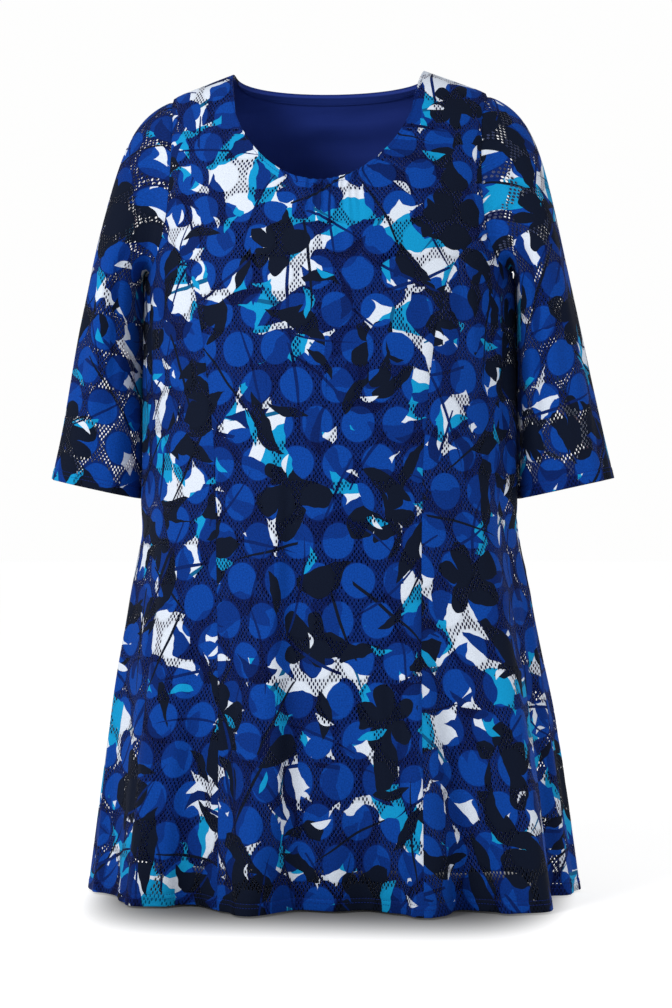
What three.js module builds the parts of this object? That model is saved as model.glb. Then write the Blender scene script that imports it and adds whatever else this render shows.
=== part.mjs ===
import * as THREE from "three";

/*
 * A-line knit dress, hollow as it is worn: a front of three panels joined by princess seams, a plain
 * back, two set-in elbow sleeves, a body lining that ends above the hem and a tape inside the back neck.
 *
 * Millimetres, +Z up, front at -Y, the wearer's left at +X. The origin lies midway between the two
 * neck points, where the wearer's shoulders hold the dress.
 *
 * The body is one smooth surface. A place on it is a turn (degrees round the body: 0 is the middle of
 * the front, 90 the wearer's left side, 180 the middle of the back) and a drop (distance below the
 * neck points). Over the sloping shoulders the turn is kept as on the chest below, so that it follows
 * the cloth straight up. Each panel is a grid between four edges of such places, thickened to a wall.
 */

// ---------------------------------------------------------------- driving sizes

const LENGTH = 922;
const CLOTH = 1.5;
const LINING_CLOTH = 1.2;
const TAPE_CLOTH = 1;
const SEAM_GAP = 0.4;
const LAYER_GAP = 0.7;

const NECK = { halfWidth: 108, frontDrop: 136, backDrop: 9, roundness: 1.9, tapeWidth: 8 };
const SHOULDER = { halfWidth: 179, drop: 29 };
const CHEST_DROP = 60;
const UNDERARM_DROP = 227;
// Armholes: their top and bottom, how many degrees they reach in from the side seam at half height
// and how much more below it, and how they round off (1 is an ellipse, less is squarer).
const ARMHOLES = {
  front: { top: SHOULDER.drop, bottom: UNDERARM_DROP, reach: 32, lowerReach: 2, rounding: 0.45 },
  back: { top: SHOULDER.drop, bottom: UNDERARM_DROP, reach: 27, lowerReach: 0, rounding: 0.8 },
  lining: { top: SHOULDER.drop - 3, bottom: UNDERARM_DROP + 6, reach: 36, lowerReach: 0, rounding: 0.6 },
};
const PRINCESS_TOP_DROP = 190;
const GATHER = { from: -20, spacing: 12, count: 6, height: 2.4, length: 95 };

// Level sections of the body: half width at the sides, depth of front and back from the side seams,
// and roundness (2 is an ellipse, more is squarer).
const SECTIONS = [
  { drop: -20, halfWidth: 58, frontDepth: 34, backDepth: 52, roundness: 2.3 },
  { drop: 0, halfWidth: 108, frontDepth: 48, backDepth: 66, roundness: 2.3 },
  { drop: 15, halfWidth: 147, frontDepth: 61, backDepth: 78, roundness: 2.3 },
  { drop: 29, halfWidth: 179, frontDepth: 71, backDepth: 86, roundness: 2.3 },
  { drop: 60, halfWidth: 193, frontDepth: 86, backDepth: 102, roundness: 2.3 },
  { drop: 100, halfWidth: 199, frontDepth: 100, backDepth: 116, roundness: 2.3 },
  { drop: 160, halfWidth: 203, frontDepth: 122, backDepth: 125, roundness: 2.3 },
  { drop: 227, halfWidth: 206, frontDepth: 145, backDepth: 127, roundness: 2.3 },
  { drop: 290, halfWidth: 206, frontDepth: 153, backDepth: 122, roundness: 2.3 },
  { drop: 400, halfWidth: 206, frontDepth: 146, backDepth: 118, roundness: 2.3 },
  { drop: 480, halfWidth: 208, frontDepth: 143, backDepth: 122, roundness: 2.25 },
  { drop: 595, halfWidth: 227, frontDepth: 143, backDepth: 131, roundness: 2.2 },
  { drop: 731, halfWidth: 248, frontDepth: 146, backDepth: 143, roundness: 2.2 },
  { drop: 922, halfWidth: 272, frontDepth: 150, backDepth: 156, roundness: 2.2 },
];

// Princess seam: distance of the seam from the middle of the front.
const PRINCESS_SEAM = [
  { drop: 190, reach: 181 },
  { drop: 204, reach: 163 },
  { drop: 222, reach: 149 },
  { drop: 243, reach: 139.5 },
  { drop: 286, reach: 129 },
  { drop: 386, reach: 117 },
  { drop: 470, reach: 112 },
  { drop: 922, reach: 111 },
];

// Folds that fall from the bust and hips to the hem: one row for each crest (out above 0) and trough,
// by its turn at the hem, how far it leans there from its turn at the waist, and where it starts.
const FOLDS = [
  { turn: -172, lean: -3, start: 420, out: 17 },
  { turn: -158, lean: 2, start: 380, out: -21 },
  { turn: -143, lean: 3, start: 450, out: 19 },
  { turn: -128, lean: 0, start: 400, out: -22 },
  { turn: -113, lean: -2, start: 470, out: 16 },
  { turn: -100, lean: 2, start: 430, out: -12 },
  { turn: -88, lean: 0, start: 480, out: 4 },
  { turn: -64, lean: -2, start: 470, out: -16 },
  { turn: -45, lean: 2, start: 430, out: 13 },
  { turn: -30, lean: -1, start: 520, out: -26 },
  { turn: -13, lean: -6, start: 400, out: 21 },
  { turn: -3, lean: 6, start: 400, out: -25 },
  { turn: 2.5, lean: 4, start: 560, out: -19 },
  { turn: 9, lean: 2, start: 600, out: -30 },
  { turn: 23, lean: 1, start: 540, out: 20 },
  { turn: 33.5, lean: 3, start: 480, out: -20 },
  { turn: 45, lean: 4, start: 560, out: 19 },
  { turn: 55, lean: 3, start: 430, out: 28 },
  { turn: 74, lean: 2, start: 400, out: -38 },
  { turn: 91, lean: 0, start: 500, out: 2 },
  { turn: 106, lean: -2, start: 440, out: 17 },
  { turn: 121, lean: 3, start: 400, out: -23 },
  { turn: 137, lean: 0, start: 470, out: 21 },
  { turn: 152, lean: -3, start: 390, out: -18 },
  { turn: 170, lean: 2, start: 450, out: -2 },
];
const FOLD_GROWTH = 1.2;
const FOLD_TOP_DROP = 320;

// The lining: how far it hangs inside the panels. It is cut slimmer than they are, and has no folds.
const LINING_LENGTH = 882;
const LINING_CLEARANCE = [
  { drop: 0, inside: 2.6 },
  { drop: 300, inside: 4 },
  { drop: 400, inside: 7 },
  { drop: 600, inside: 20 },
  { drop: 882, inside: 44 },
];
const LINING_SEWN_DEPTH = 30;
const LINING_SEWN_GAP = 2;
const LINING_NECK_INSET = 4;

// Sleeve sections below the armhole, across from the edge by the body to the outer edge.
const SLEEVE_RINGS = [
  { inDrop: 247, inReach: 209.5, outDrop: 233, outReach: 269, halfDepth: 84, middle: -2 },
  { inDrop: 300, inReach: 210.5, outDrop: 290, outReach: 281.5, halfDepth: 78, middle: -2 },
  { inDrop: 360, inReach: 211.5, outDrop: 346, outReach: 293.5, halfDepth: 70, middle: -1 },
  { inDrop: 420, inReach: 213, outDrop: 402, outReach: 306, halfDepth: 62, middle: 1 },
  { inDrop: 480, inReach: 215, outDrop: 457, outReach: 319, halfDepth: 56, middle: 3 },
];
const SLEEVE_ROUNDNESS = 2.25;
// How far the sleeve head carries on in the line of the shoulder, chest and underarm before it turns
// down, how far above the upper arm section it already hangs straight, and how steeply it leaves the
// shoulder.
const SLEEVE_HEAD = {
  shoulderRun: 60,
  chestRun: 26,
  underarmRun: 6,
  shoulderFall: 130,
  chestFall: 48,
  underarmFall: 22,
  shoulderSlope: 20,
};
// Troughs of the sleeves by place round the arm: 0 is the outer edge, 90 the front, 180 by the body.
const SLEEVE_FOLDS = [
  { place: 150, width: 22, out: -5, start: 0.1 },
  { place: 96, width: 18, out: -3, start: 0.35 },
  { place: 236, width: 24, out: -5, start: 0.2 },
];
const SLEEVE_FOLD_GROWTH = 0.3;

// Grid sizes, the drop where the skirt's rows end and the bust's begin, and how fast the sides and
// the top of a panel lose their hold on the grid (more is faster).
const SKIRT_TOP_DROP = 300;
const SKIRT_ROWS = 11;
const BUST_ROWS = 4;
const ARMHOLE_FRONT_ROWS = 7;
const UNDERARM_COLUMNS = 5;
const ARMHOLE_BACK_ROWS = 10;
const LINING_ARMHOLE_ROWS = 9;
const SIDE_COLUMNS = 10;
const SHOULDER_COLUMNS = 3;
const NECK_SIDE_COLUMNS = 5;
const BACK_NECK_COLUMNS = 18;
const LINING_SKIRT_ROWS = 6;
const LINING_NECK_COLUMNS = 16;
const SIDE_PULL = 2.5;
const TOP_PULL = 2.5;
const HEAD_RINGS = 7;
const ARM_RINGS = 8;

// ---------------------------------------------------------------- numbers and tables

const degrees = THREE.MathUtils.radToDeg;
const radians = THREE.MathUtils.degToRad;
const mix = THREE.MathUtils.lerp;
const clamp = THREE.MathUtils.clamp;

function range(count, valueAt) {
  return Array.from({ length: count }, (_, index) => valueAt(index));
}

function easeInOut(t) {
  const s = clamp(t, 0, 1);
  return s * s * (3 - 2 * s);
}

function signedPower(value, power) {
  return Math.sign(value) * Math.abs(value) ** power;
}

// One column of a table at a place between its rows: a smooth curve that never overshoots them.
function readTable(rows, key, column, at) {
  const last = rows.length - 1;
  const place = clamp(at, rows[0][key], rows[last][key]);
  const upper = clamp(rows.findIndex((row) => row[key] >= place), 1, last);
  const steepness = (i) => (rows[i + 1][column] - rows[i][column]) / (rows[i + 1][key] - rows[i][key]);
  const slope = (i) => {
    if (i === 0) return steepness(0);
    if (i === last) return steepness(last - 1);
    const before = steepness(i - 1);
    const after = steepness(i);
    return before * after <= 0 ? 0 : (2 * before * after) / (before + after);
  };
  const from = rows[upper - 1];
  const to = rows[upper];
  const span = to[key] - from[key];
  const t = (place - from[key]) / span;
  const bend = t * (1 - t) * span;
  const straight = mix(from[column], to[column], easeInOut(t));
  return straight + bend * ((1 - t) * slope(upper - 1) - t * slope(upper));
}

// ---------------------------------------------------------------- the body surface

// Height of the fold surface over the plain body: it swings from each crest to the next trough.
function foldHeight(turn, drop) {
  const down = clamp((drop - UNDERARM_DROP) / (LENGTH - UNDERARM_DROP), 0, 1);
  const lines = FOLDS.map((row) => ({
    turn: row.turn - row.lean * (1 - down),
    out: row.out * clamp((drop - row.start) / (LENGTH - row.start), 0, 1) ** FOLD_GROWTH,
  }));
  const first = lines[0];
  const closing = { turn: first.turn + 360, out: first.out };
  let around = turn;
  while (around < first.turn) around += 360;
  while (around >= closing.turn) around -= 360;
  const after = [...lines, closing].findIndex((line) => line.turn > around);
  const from = lines[after - 1];
  const to = lines[after] ?? closing;
  return mix(from.out, to.out, easeInOut((around - from.turn) / (to.turn - from.turn)));
}

// The level section at a drop, and how the place at a turn lies in it: its shares of the half width
// and of the depth.
function sectionAt({ turn, drop }) {
  const isFront = Math.cos(radians(turn)) >= 0;
  const read = (column, at) => readTable(SECTIONS, "drop", column, at);
  const roundness = read("roundness", drop);
  const halfWidth = read("halfWidth", drop);
  const chestWidth = read("halfWidth", Math.max(drop, CHEST_DROP));
  const reach = chestWidth * Math.abs(Math.sin(radians(turn))) ** (2 / roundness);
  const acrossShare = Math.min(reach / halfWidth, 1);
  const depthShare = (1 - acrossShare ** roundness) ** (1 / roundness);
  return {
    halfWidth,
    depth: read(isFront ? "frontDepth" : "backDepth", drop),
    roundness,
    across: Math.sign(Math.sin(radians(turn))) * acrossShare,
    ahead: isFront ? -depthShare : depthShare,
  };
}

// Level direction square to the plain section.
function levelOutward({ halfWidth, depth, roundness, across, ahead }) {
  const x = signedPower(across, roundness - 1) / halfWidth;
  const y = signedPower(ahead, roundness - 1) / depth;
  return new THREE.Vector3(x, y, 0);
}

function bodyPoint(place) {
  const section = sectionAt(place);
  const { halfWidth, depth, across, ahead } = section;
  const fold = place.isFlat ? 0 : foldHeight(place.turn, place.drop);
  return new THREE.Vector3(halfWidth * across, depth * ahead, -place.drop)
    .addScaledVector(levelOutward(section).normalize(), fold);
}

// Outward direction of the surface: from the growth of the plain sections above the folds, and from
// neighbouring points among them.
function bodyNormal(place) {
  const { turn, drop } = place;
  if (drop > FOLD_TOP_DROP && !place.isFlat) {
    const round = bodyPoint({ turn: turn + 1, drop }).sub(bodyPoint({ turn: turn - 1, drop }));
    const down = bodyPoint({ turn, drop: drop + 1 }).sub(bodyPoint({ turn, drop: drop - 1 }));
    return down.cross(round).normalize();
  }
  const section = sectionAt(place);
  const { halfWidth, depth, roundness, across, ahead } = section;
  const growth = (column) =>
    readTable(SECTIONS, "drop", column, drop + 1) - readTable(SECTIONS, "drop", column, drop - 1);
  const wider = growth("halfWidth") / 2 / halfWidth;
  const deeper = growth(ahead < 0 ? "frontDepth" : "backDepth") / 2 / depth;
  const rise = Math.abs(across) ** roundness * wider + Math.abs(ahead) ** roundness * deeper;
  return levelOutward(section).setZ(rise).normalize();
}

// Turn of the front place that lies a given distance from the middle of the plain body.
function frontTurn(reach, drop) {
  const chestWidth = readTable(SECTIONS, "drop", "halfWidth", Math.max(drop, CHEST_DROP));
  const roundness = readTable(SECTIONS, "drop", "roundness", drop);
  const share = clamp(Math.abs(reach) / chestWidth, 0, 1);
  return Math.sign(reach) * degrees(Math.asin(share ** (roundness / 2)));
}

// ---------------------------------------------------------------- edges of the panels

// Place on the plain front where the shoulder of the wearer's left lies at a drop.
function shoulderPlace(drop) {
  return { turn: frontTurn(readTable(SECTIONS, "drop", "halfWidth", drop), drop), drop };
}

// Place on an armhole of the wearer's left: swing -90 is the shoulder tip, 90 the underarm.
function armholePlace(armhole, swing) {
  const sine = Math.sin(radians(swing));
  const cosine = Math.max(Math.cos(radians(swing)), 0);
  const drop = mix(armhole.top, armhole.bottom, (1 + sine) / 2);
  const tip = shoulderPlace(armhole.top);
  if (sine < 0) return { turn: mix(tip.turn, 90 - armhole.reach, cosine ** 2), drop };
  return { turn: 90 - (armhole.reach + armhole.lowerReach * sine) * cosine ** armhole.rounding, drop };
}

// Part of an armhole between two swings.
function armholeEdge(armhole, fromSwing, toSwing, count) {
  return range(count + 1, (i) => armholePlace(armhole, mix(fromSwing, toSwing, i / count)));
}

const PRINCESS_SWING = degrees(Math.asin((2 * PRINCESS_TOP_DROP - SHOULDER.drop - UNDERARM_DROP)
  / (UNDERARM_DROP - SHOULDER.drop)));

// Left armhole seams, each from the bottom up.
const frontArmhole = armholeEdge(ARMHOLES.front, PRINCESS_SWING, -90, ARMHOLE_FRONT_ROWS);
const underarm = armholeEdge(ARMHOLES.front, 90, PRINCESS_SWING, UNDERARM_COLUMNS);
const backArmhole = armholeEdge(ARMHOLES.back, 90, -90, ARMHOLE_BACK_ROWS).map(toBack);
const liningArmhole = armholeEdge(ARMHOLES.lining, 90, -90, LINING_ARMHOLE_ROWS);

function toBack(place) {
  return { turn: 180 - place.turn, drop: place.drop };
}

function toRight(place) {
  return { turn: -place.turn, drop: place.drop };
}

// Levels shared by the seams on both sides of a panel, from the hem up to a seam's top.
function levels(hem, top, skirtRows) {
  const skirt = range(skirtRows, (i) => mix(hem, SKIRT_TOP_DROP, i / skirtRows));
  const bust = range(BUST_ROWS + 1, (i) => mix(SKIRT_TOP_DROP, top, i / BUST_ROWS));
  return [...skirt, ...bust];
}

const sideSeam = (hem, top, skirtRows) => levels(hem, top, skirtRows).map((drop) => ({ turn: 90, drop }));

const princessSeam = levels(LENGTH, PRINCESS_TOP_DROP, SKIRT_ROWS).map((drop) => {
  const place = { turn: frontTurn(readTable(PRINCESS_SEAM, "drop", "reach", drop), drop), drop };
  return drop > PRINCESS_TOP_DROP ? place : frontArmhole[0];
});

// Shoulder seam of the wearer's left, up to the neck point.
function shoulderSeam(tipDrop, neckPointDrop) {
  return range(SHOULDER_COLUMNS + 1, (i) => (
    shoulderPlace(mix(tipDrop, neckPointDrop, i / SHOULDER_COLUMNS))
  ));
}

// Place on a neckline that scoops down from the neck points to its lowest drop.
function necklinePlace(neck, reach) {
  const share = clamp(Math.abs(reach) / neck.halfWidth, 0, 1);
  const drop = mix(neck.pointDrop, neck.lowest, (1 - share ** NECK.roundness) ** (1 / NECK.roundness));
  return { turn: frontTurn(reach, drop), drop };
}

// Part of a neckline from one angle of its scoop to another; angle 0 is the left neck point.
function neckline(neck, fromAngle, toAngle, count) {
  return range(count + 1, (i) => {
    const share = Math.cos(radians(mix(fromAngle, toAngle, i / count)));
    return necklinePlace(neck, neck.halfWidth * signedPower(share, 2 / NECK.roundness));
  });
}

const scoopAngle = (reach) => degrees(Math.acos(signedPower(reach / NECK.halfWidth, NECK.roundness / 2)));

const frontNeck = { halfWidth: NECK.halfWidth, pointDrop: 0, lowest: NECK.frontDrop };
const backNeck = { halfWidth: NECK.halfWidth, pointDrop: 0, lowest: NECK.backDrop };

// The lining's neckline lies a little back from the panels' edge.
function liningNeck(neck) {
  const halfWidth = NECK.halfWidth + LINING_NECK_INSET;
  const pointDrop = readTable(SECTIONS, "halfWidth", "drop", halfWidth);
  return { halfWidth, pointDrop, lowest: neck.lowest + LINING_NECK_INSET };
}

// Top edge of the front, from the right shoulder tip to the left one, with places close together
// where the gathers are.
function frontTop() {
  const shoulder = shoulderSeam(SHOULDER.drop, 0);
  const gatherEnd = GATHER.from + GATHER.spacing * GATHER.count;
  const gathered = range(2 * GATHER.count + 1, (i) =>
    necklinePlace(frontNeck, GATHER.from + (GATHER.spacing * i) / 2));
  const leftArc = neckline(frontNeck, 0, scoopAngle(gatherEnd), NECK_SIDE_COLUMNS).reverse();
  const rightArc = neckline(frontNeck, 0, scoopAngle(-GATHER.from), NECK_SIDE_COLUMNS).map(toRight);
  return joinEdges(shoulder.map(toRight), rightArc, gathered, leftArc, [...shoulder].reverse());
}

// Top edge with an even neckline, from the right shoulder tip to the left one.
function evenTop(neck, tipDrop, neckColumns) {
  const arc = neckline(neck, 0, 90, neckColumns / 2);
  const left = joinEdges(shoulderSeam(tipDrop, neck.pointDrop), arc);
  return joinEdges(left.map(toRight), [...left].reverse());
}

// Edges that follow each other, without the shared places said twice.
function joinEdges(first, ...others) {
  return others.reduce((edge, next) => [...edge, ...next.slice(1)], first);
}

// Hem with even steps, where the nearest place is moved onto each crest and trough.
function hemEdge(drop, fromTurn, toTurn, columns) {
  const edge = range(columns + 1, (i) => ({ turn: mix(fromTurn, toTurn, i / columns), drop }));
  const step = (toTurn - fromTurn) / columns;
  FOLDS.forEach((fold) => {
    const turn = fold.turn < fromTurn ? fold.turn + 360 : fold.turn;
    const nearest = Math.round((turn - fromTurn) / step);
    if (nearest > 0 && nearest < columns) edge[nearest].turn = turn;
  });
  return edge;
}

// ---------------------------------------------------------------- grids of places and points

// Places of a panel between its four edges. Left and right run up, bottom and top run left to right.
// Columns run straight from bottom to top, and bend to the sides the more the closer they lie to
// them; rows run level and bend to the top edge in the same way.
function fillGrid(left, right, bottom, top) {
  const rows = left.length - 1;
  const columns = bottom.length - 1;
  const rise = left[0].drop - left[rows].drop;
  const placeAt = (r, c) => {
    const up = (left[0].drop - left[r].drop) / rise;
    const across = c / columns;
    const straight = (column) => mix(bottom[column].turn, top[column].turn, up);
    const leftBend = (left[r].turn - straight(0)) * (1 - across) ** SIDE_PULL;
    const rightBend = (right[r].turn - straight(columns)) * across ** SIDE_PULL;
    const level = (row) => mix(left[row].drop, right[row].drop, across);
    return {
      turn: straight(c) + leftBend + rightBend,
      drop: level(r) + (top[c].drop - level(rows)) * up ** TOP_PULL,
    };
  };
  return range(rows + 1, (r) => range(columns + 1, (c) => placeAt(r, c)));
}

// Points and outward normals of a grid of places, moved off the surface by a given distance.
function layGrid(places, offsetAt = () => 0) {
  return places.map((row, r) => row.map((place, c) => {
    const normal = bodyNormal(place);
    return { point: bodyPoint(place).addScaledVector(normal, offsetAt(place, r, c)), normal };
  }));
}

// Step to one side of an edge that runs through three spots, as long from both its stretches.
function besideEdge(before, spot, after, distance) {
  const side = (from, to) => {
    const along = to.point.clone().sub(from.point);
    return spot.normal.clone().cross(along).normalize();
  };
  if (before === spot) return side(spot, after).multiplyScalar(distance);
  if (after === spot) return side(before, spot).multiplyScalar(distance);
  const first = side(before, spot);
  const second = side(spot, after);
  return first.clone().add(second).multiplyScalar(distance / (1 + first.dot(second)));
}

// Draw the four edges of a grid in by half a seam gap, so that neighbours don't touch.
function trimEdges(grid) {
  const rows = grid.length - 1;
  const columns = grid[0].length - 1;
  return grid.map((row, r) => row.map((spot, c) => {
    const point = spot.point.clone();
    const before = row[Math.max(c - 1, 0)];
    const after = row[Math.min(c + 1, columns)];
    const below = grid[Math.max(r - 1, 0)][c];
    const above = grid[Math.min(r + 1, rows)][c];
    if (r === 0) point.add(besideEdge(before, spot, after, SEAM_GAP / 2));
    if (r === rows) point.add(besideEdge(after, spot, before, SEAM_GAP / 2));
    if (c === 0) point.add(besideEdge(above, spot, below, SEAM_GAP / 2));
    if (c === columns) point.add(besideEdge(below, spot, above, SEAM_GAP / 2));
    return { point, normal: spot.normal };
  }));
}

// ---------------------------------------------------------------- solids

// Closed cloth wall from a grid: its points moved by outer and by inner along their normals, with
// the edges closed and each cell split across its shorter way. Where the grid goes all the way
// round, its last column meets its first.
function clothWall(grid, outer, inner, goesRound = false) {
  const rows = grid.length;
  const columns = grid[0].length;
  const positions = [];
  [outer, inner].forEach((offset) => grid.forEach((row) => row.forEach(({ point, normal }) => {
    positions.push(...point.clone().addScaledVector(normal, offset).toArray());
  })));
  const at = (layer, r, c) => (layer * rows + r) * columns + (c % columns);
  const faces = [];
  const quad = (a, b, c, d) => faces.push(a, b, c, a, c, d);
  const cells = goesRound ? columns : columns - 1;
  const apart = (r, c, otherRow, otherColumn) =>
    grid[r][c % columns].point.distanceTo(grid[otherRow][otherColumn % columns].point);
  for (let r = 0; r < rows - 1; r += 1) {
    for (let c = 0; c < cells; c += 1) {
      const outside = [at(0, r, c), at(0, r, c + 1), at(0, r + 1, c + 1), at(0, r + 1, c)];
      const inside = [at(1, r, c), at(1, r + 1, c), at(1, r + 1, c + 1), at(1, r, c + 1)];
      if (apart(r, c, r + 1, c + 1) > apart(r, c + 1, r + 1, c)) {
        outside.push(outside.shift());
        inside.push(inside.shift());
      }
      quad(...outside);
      quad(...inside);
    }
  }
  for (let c = 0; c < cells; c += 1) {
    quad(at(0, 0, c), at(1, 0, c), at(1, 0, c + 1), at(0, 0, c + 1));
    quad(at(0, rows - 1, c), at(0, rows - 1, c + 1), at(1, rows - 1, c + 1), at(1, rows - 1, c));
  }
  if (!goesRound) {
    const last = columns - 1;
    for (let r = 0; r < rows - 1; r += 1) {
      quad(at(0, r, 0), at(0, r + 1, 0), at(1, r + 1, 0), at(1, r, 0));
      quad(at(0, r, last), at(1, r, last), at(1, r + 1, last), at(0, r + 1, last));
    }
  }
  const geometry = new THREE.BufferGeometry();
  geometry.setAttribute("position", new THREE.Float32BufferAttribute(positions, 3));
  geometry.setIndex(faces);
  geometry.computeVertexNormals();
  return geometry;
}

// ---------------------------------------------------------------- panels

function frontCenterPanel() {
  const leftEdge = joinEdges(princessSeam, frontArmhole);
  const top = frontTop();
  const hemTurn = princessSeam[0].turn;
  const hem = hemEdge(LENGTH, -hemTurn, hemTurn, top.length - 1);
  const places = fillGrid(leftEdge.map(toRight), leftEdge, hem, top);
  const firstGather = SHOULDER_COLUMNS + NECK_SIDE_COLUMNS;
  const neckRow = places.length - 1;
  const gather = (place, r, c) => {
    const pleat = c - firstGather;
    if (pleat < 1 || pleat > 2 * GATHER.count - 1 || pleat % 2 === 0) return 0;
    const below = place.drop - places[neckRow][c].drop;
    return GATHER.height * (1 - easeInOut(below / GATHER.length));
  };
  return clothWall(trimEdges(layGrid(places, gather)), 0, -CLOTH);
}

// Front side panel: side is 1 for the wearer's left, -1 for the right.
function frontSidePanel(side) {
  const hem = hemEdge(LENGTH, princessSeam[0].turn, 90, SIDE_COLUMNS);
  const top = spreadEdge([...underarm].reverse(), SIDE_COLUMNS);
  const left = fillGrid(princessSeam, sideSeam(LENGTH, UNDERARM_DROP, SKIRT_ROWS), hem, top);
  const places = side > 0 ? left : left.map((row) => row.map(toRight).reverse());
  return clothWall(trimEdges(layGrid(places)), 0, -CLOTH);
}

// The same edge with more places: each stretch is split into equal steps.
function spreadEdge(edge, columns) {
  const steps = columns / (edge.length - 1);
  return range(columns + 1, (i) => {
    const from = Math.min(Math.floor(i / steps), edge.length - 2);
    const part = i / steps - from;
    return {
      turn: mix(edge[from].turn, edge[from + 1].turn, part),
      drop: mix(edge[from].drop, edge[from + 1].drop, part),
    };
  });
}

function backPanel() {
  const left = joinEdges(sideSeam(LENGTH, UNDERARM_DROP, SKIRT_ROWS), backArmhole);
  const right = left.map((place) => ({ turn: 360 - place.turn, drop: place.drop }));
  const top = evenTop(backNeck, SHOULDER.drop, BACK_NECK_COLUMNS).map(toBack).reverse();
  const places = fillGrid(left, right, hemEdge(LENGTH, 90, 270, top.length - 1), top);
  return clothWall(trimEdges(layGrid(places)), 0, -CLOTH);
}

// Places of a lining as they lie on a front, between two side seams.
function liningPlaces(neck) {
  const left = joinEdges(sideSeam(LINING_LENGTH, ARMHOLES.lining.bottom, LINING_SKIRT_ROWS), liningArmhole);
  const top = evenTop(liningNeck(neck), ARMHOLES.lining.top, LINING_NECK_COLUMNS);
  const hem = top.map((_, i) => ({ turn: mix(-90, 90, i / (top.length - 1)), drop: LINING_LENGTH }));
  return fillGrid(left.map(toRight), left, hem, top);
}

// The lining is sewn in along the neckline and shoulders, and hangs free and unfolded below them.
function liningGrid(places) {
  const top = places.length - 1;
  const plain = (place) => ({ ...place, isFlat: true });
  const inside = (place, r, c) => {
    const below = place.drop - places[top][c].drop;
    const free = readTable(LINING_CLEARANCE, "drop", "inside", place.drop);
    return -CLOTH - mix(LINING_SEWN_GAP, free, clamp(below / LINING_SEWN_DEPTH, 0, 1));
  };
  return trimEdges(layGrid(places.map((row) => row.map(plain)), inside));
}

// Tape on the inside of the lining along the back neckline.
function backNeckTape(lining) {
  const top = lining.length - 1;
  const upper = lining[top].slice(SHOULDER_COLUMNS, lining[top].length - SHOULDER_COLUMNS);
  const below = lining[top - 1].slice(SHOULDER_COLUMNS, lining[top].length - SHOULDER_COLUMNS);
  const lower = upper.map((spot, c) => {
    const part = NECK.tapeWidth / below[c].point.distanceTo(spot.point);
    return {
      point: spot.point.clone().lerp(below[c].point, part),
      normal: spot.normal.clone().lerp(below[c].normal, part).normalize(),
    };
  });
  const outer = -LINING_CLOTH - LAYER_GAP;
  return clothWall(trimEdges([lower, upper]), outer, outer - TAPE_CLOTH);
}

// ---------------------------------------------------------------- sleeves

// Spots on the left armhole seam, down the front and up the back, with the way out of the panel.
function armholeLoop() {
  const frontDown = joinEdges([...frontArmhole].reverse(), [...underarm].reverse());
  const places = joinEdges(frontDown, backArmhole).slice(0, -1);
  const spots = places.map((place) => ({ point: bodyPoint(place), normal: bodyNormal(place) }));
  const count = spots.length;
  return spots.map((spot, i) => {
    const step = besideEdge(spots[(i + count - 1) % count], spot, spots[(i + 1) % count], SEAM_GAP / 2);
    return { ...spot, step, out: step.clone().normalize() };
  });
}

// Point of a sleeve section: way 0 is the upper arm, 1 the cuff; place is degrees round it.
function sleevePoint(way, place) {
  const rows = SLEEVE_RINGS.map((row, i) => ({ ...row, way: i / (SLEEVE_RINGS.length - 1) }));
  const read = (column) => readTable(rows, "way", column, way);
  const inner = new THREE.Vector3(read("inReach"), read("middle"), -read("inDrop"));
  const outer = new THREE.Vector3(read("outReach"), read("middle"), -read("outDrop"));
  const across = outer.clone().sub(inner).multiplyScalar(0.5);
  const center = inner.add(across);
  const outShare = signedPower(Math.cos(radians(place)), 2 / SLEEVE_ROUNDNESS);
  const backShare = signedPower(-Math.sin(radians(place)), 2 / SLEEVE_ROUNDNESS);
  const folded = SLEEVE_FOLDS.reduce((sum, fold) => {
    const near = Math.exp(-(((place - fold.place) / fold.width) ** 2));
    const grown = easeInOut((way - fold.start) / SLEEVE_FOLD_GROWTH);
    return sum + fold.out * near * grown;
  }, 0);
  const halfDepth = read("halfDepth") + folded * Math.abs(backShare);
  const point = center.clone().addScaledVector(across, outShare);
  point.y += halfDepth * backShare;
  return point;
}

// Blend of three values round the arm: at the shoulder, at front and back, and at the underarm.
function roundArm(place, shoulder, chest, underarmValue) {
  const cosine = Math.cos(radians(place));
  return mix(chest, cosine > 0 ? shoulder : underarmValue, cosine * cosine);
}

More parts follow.
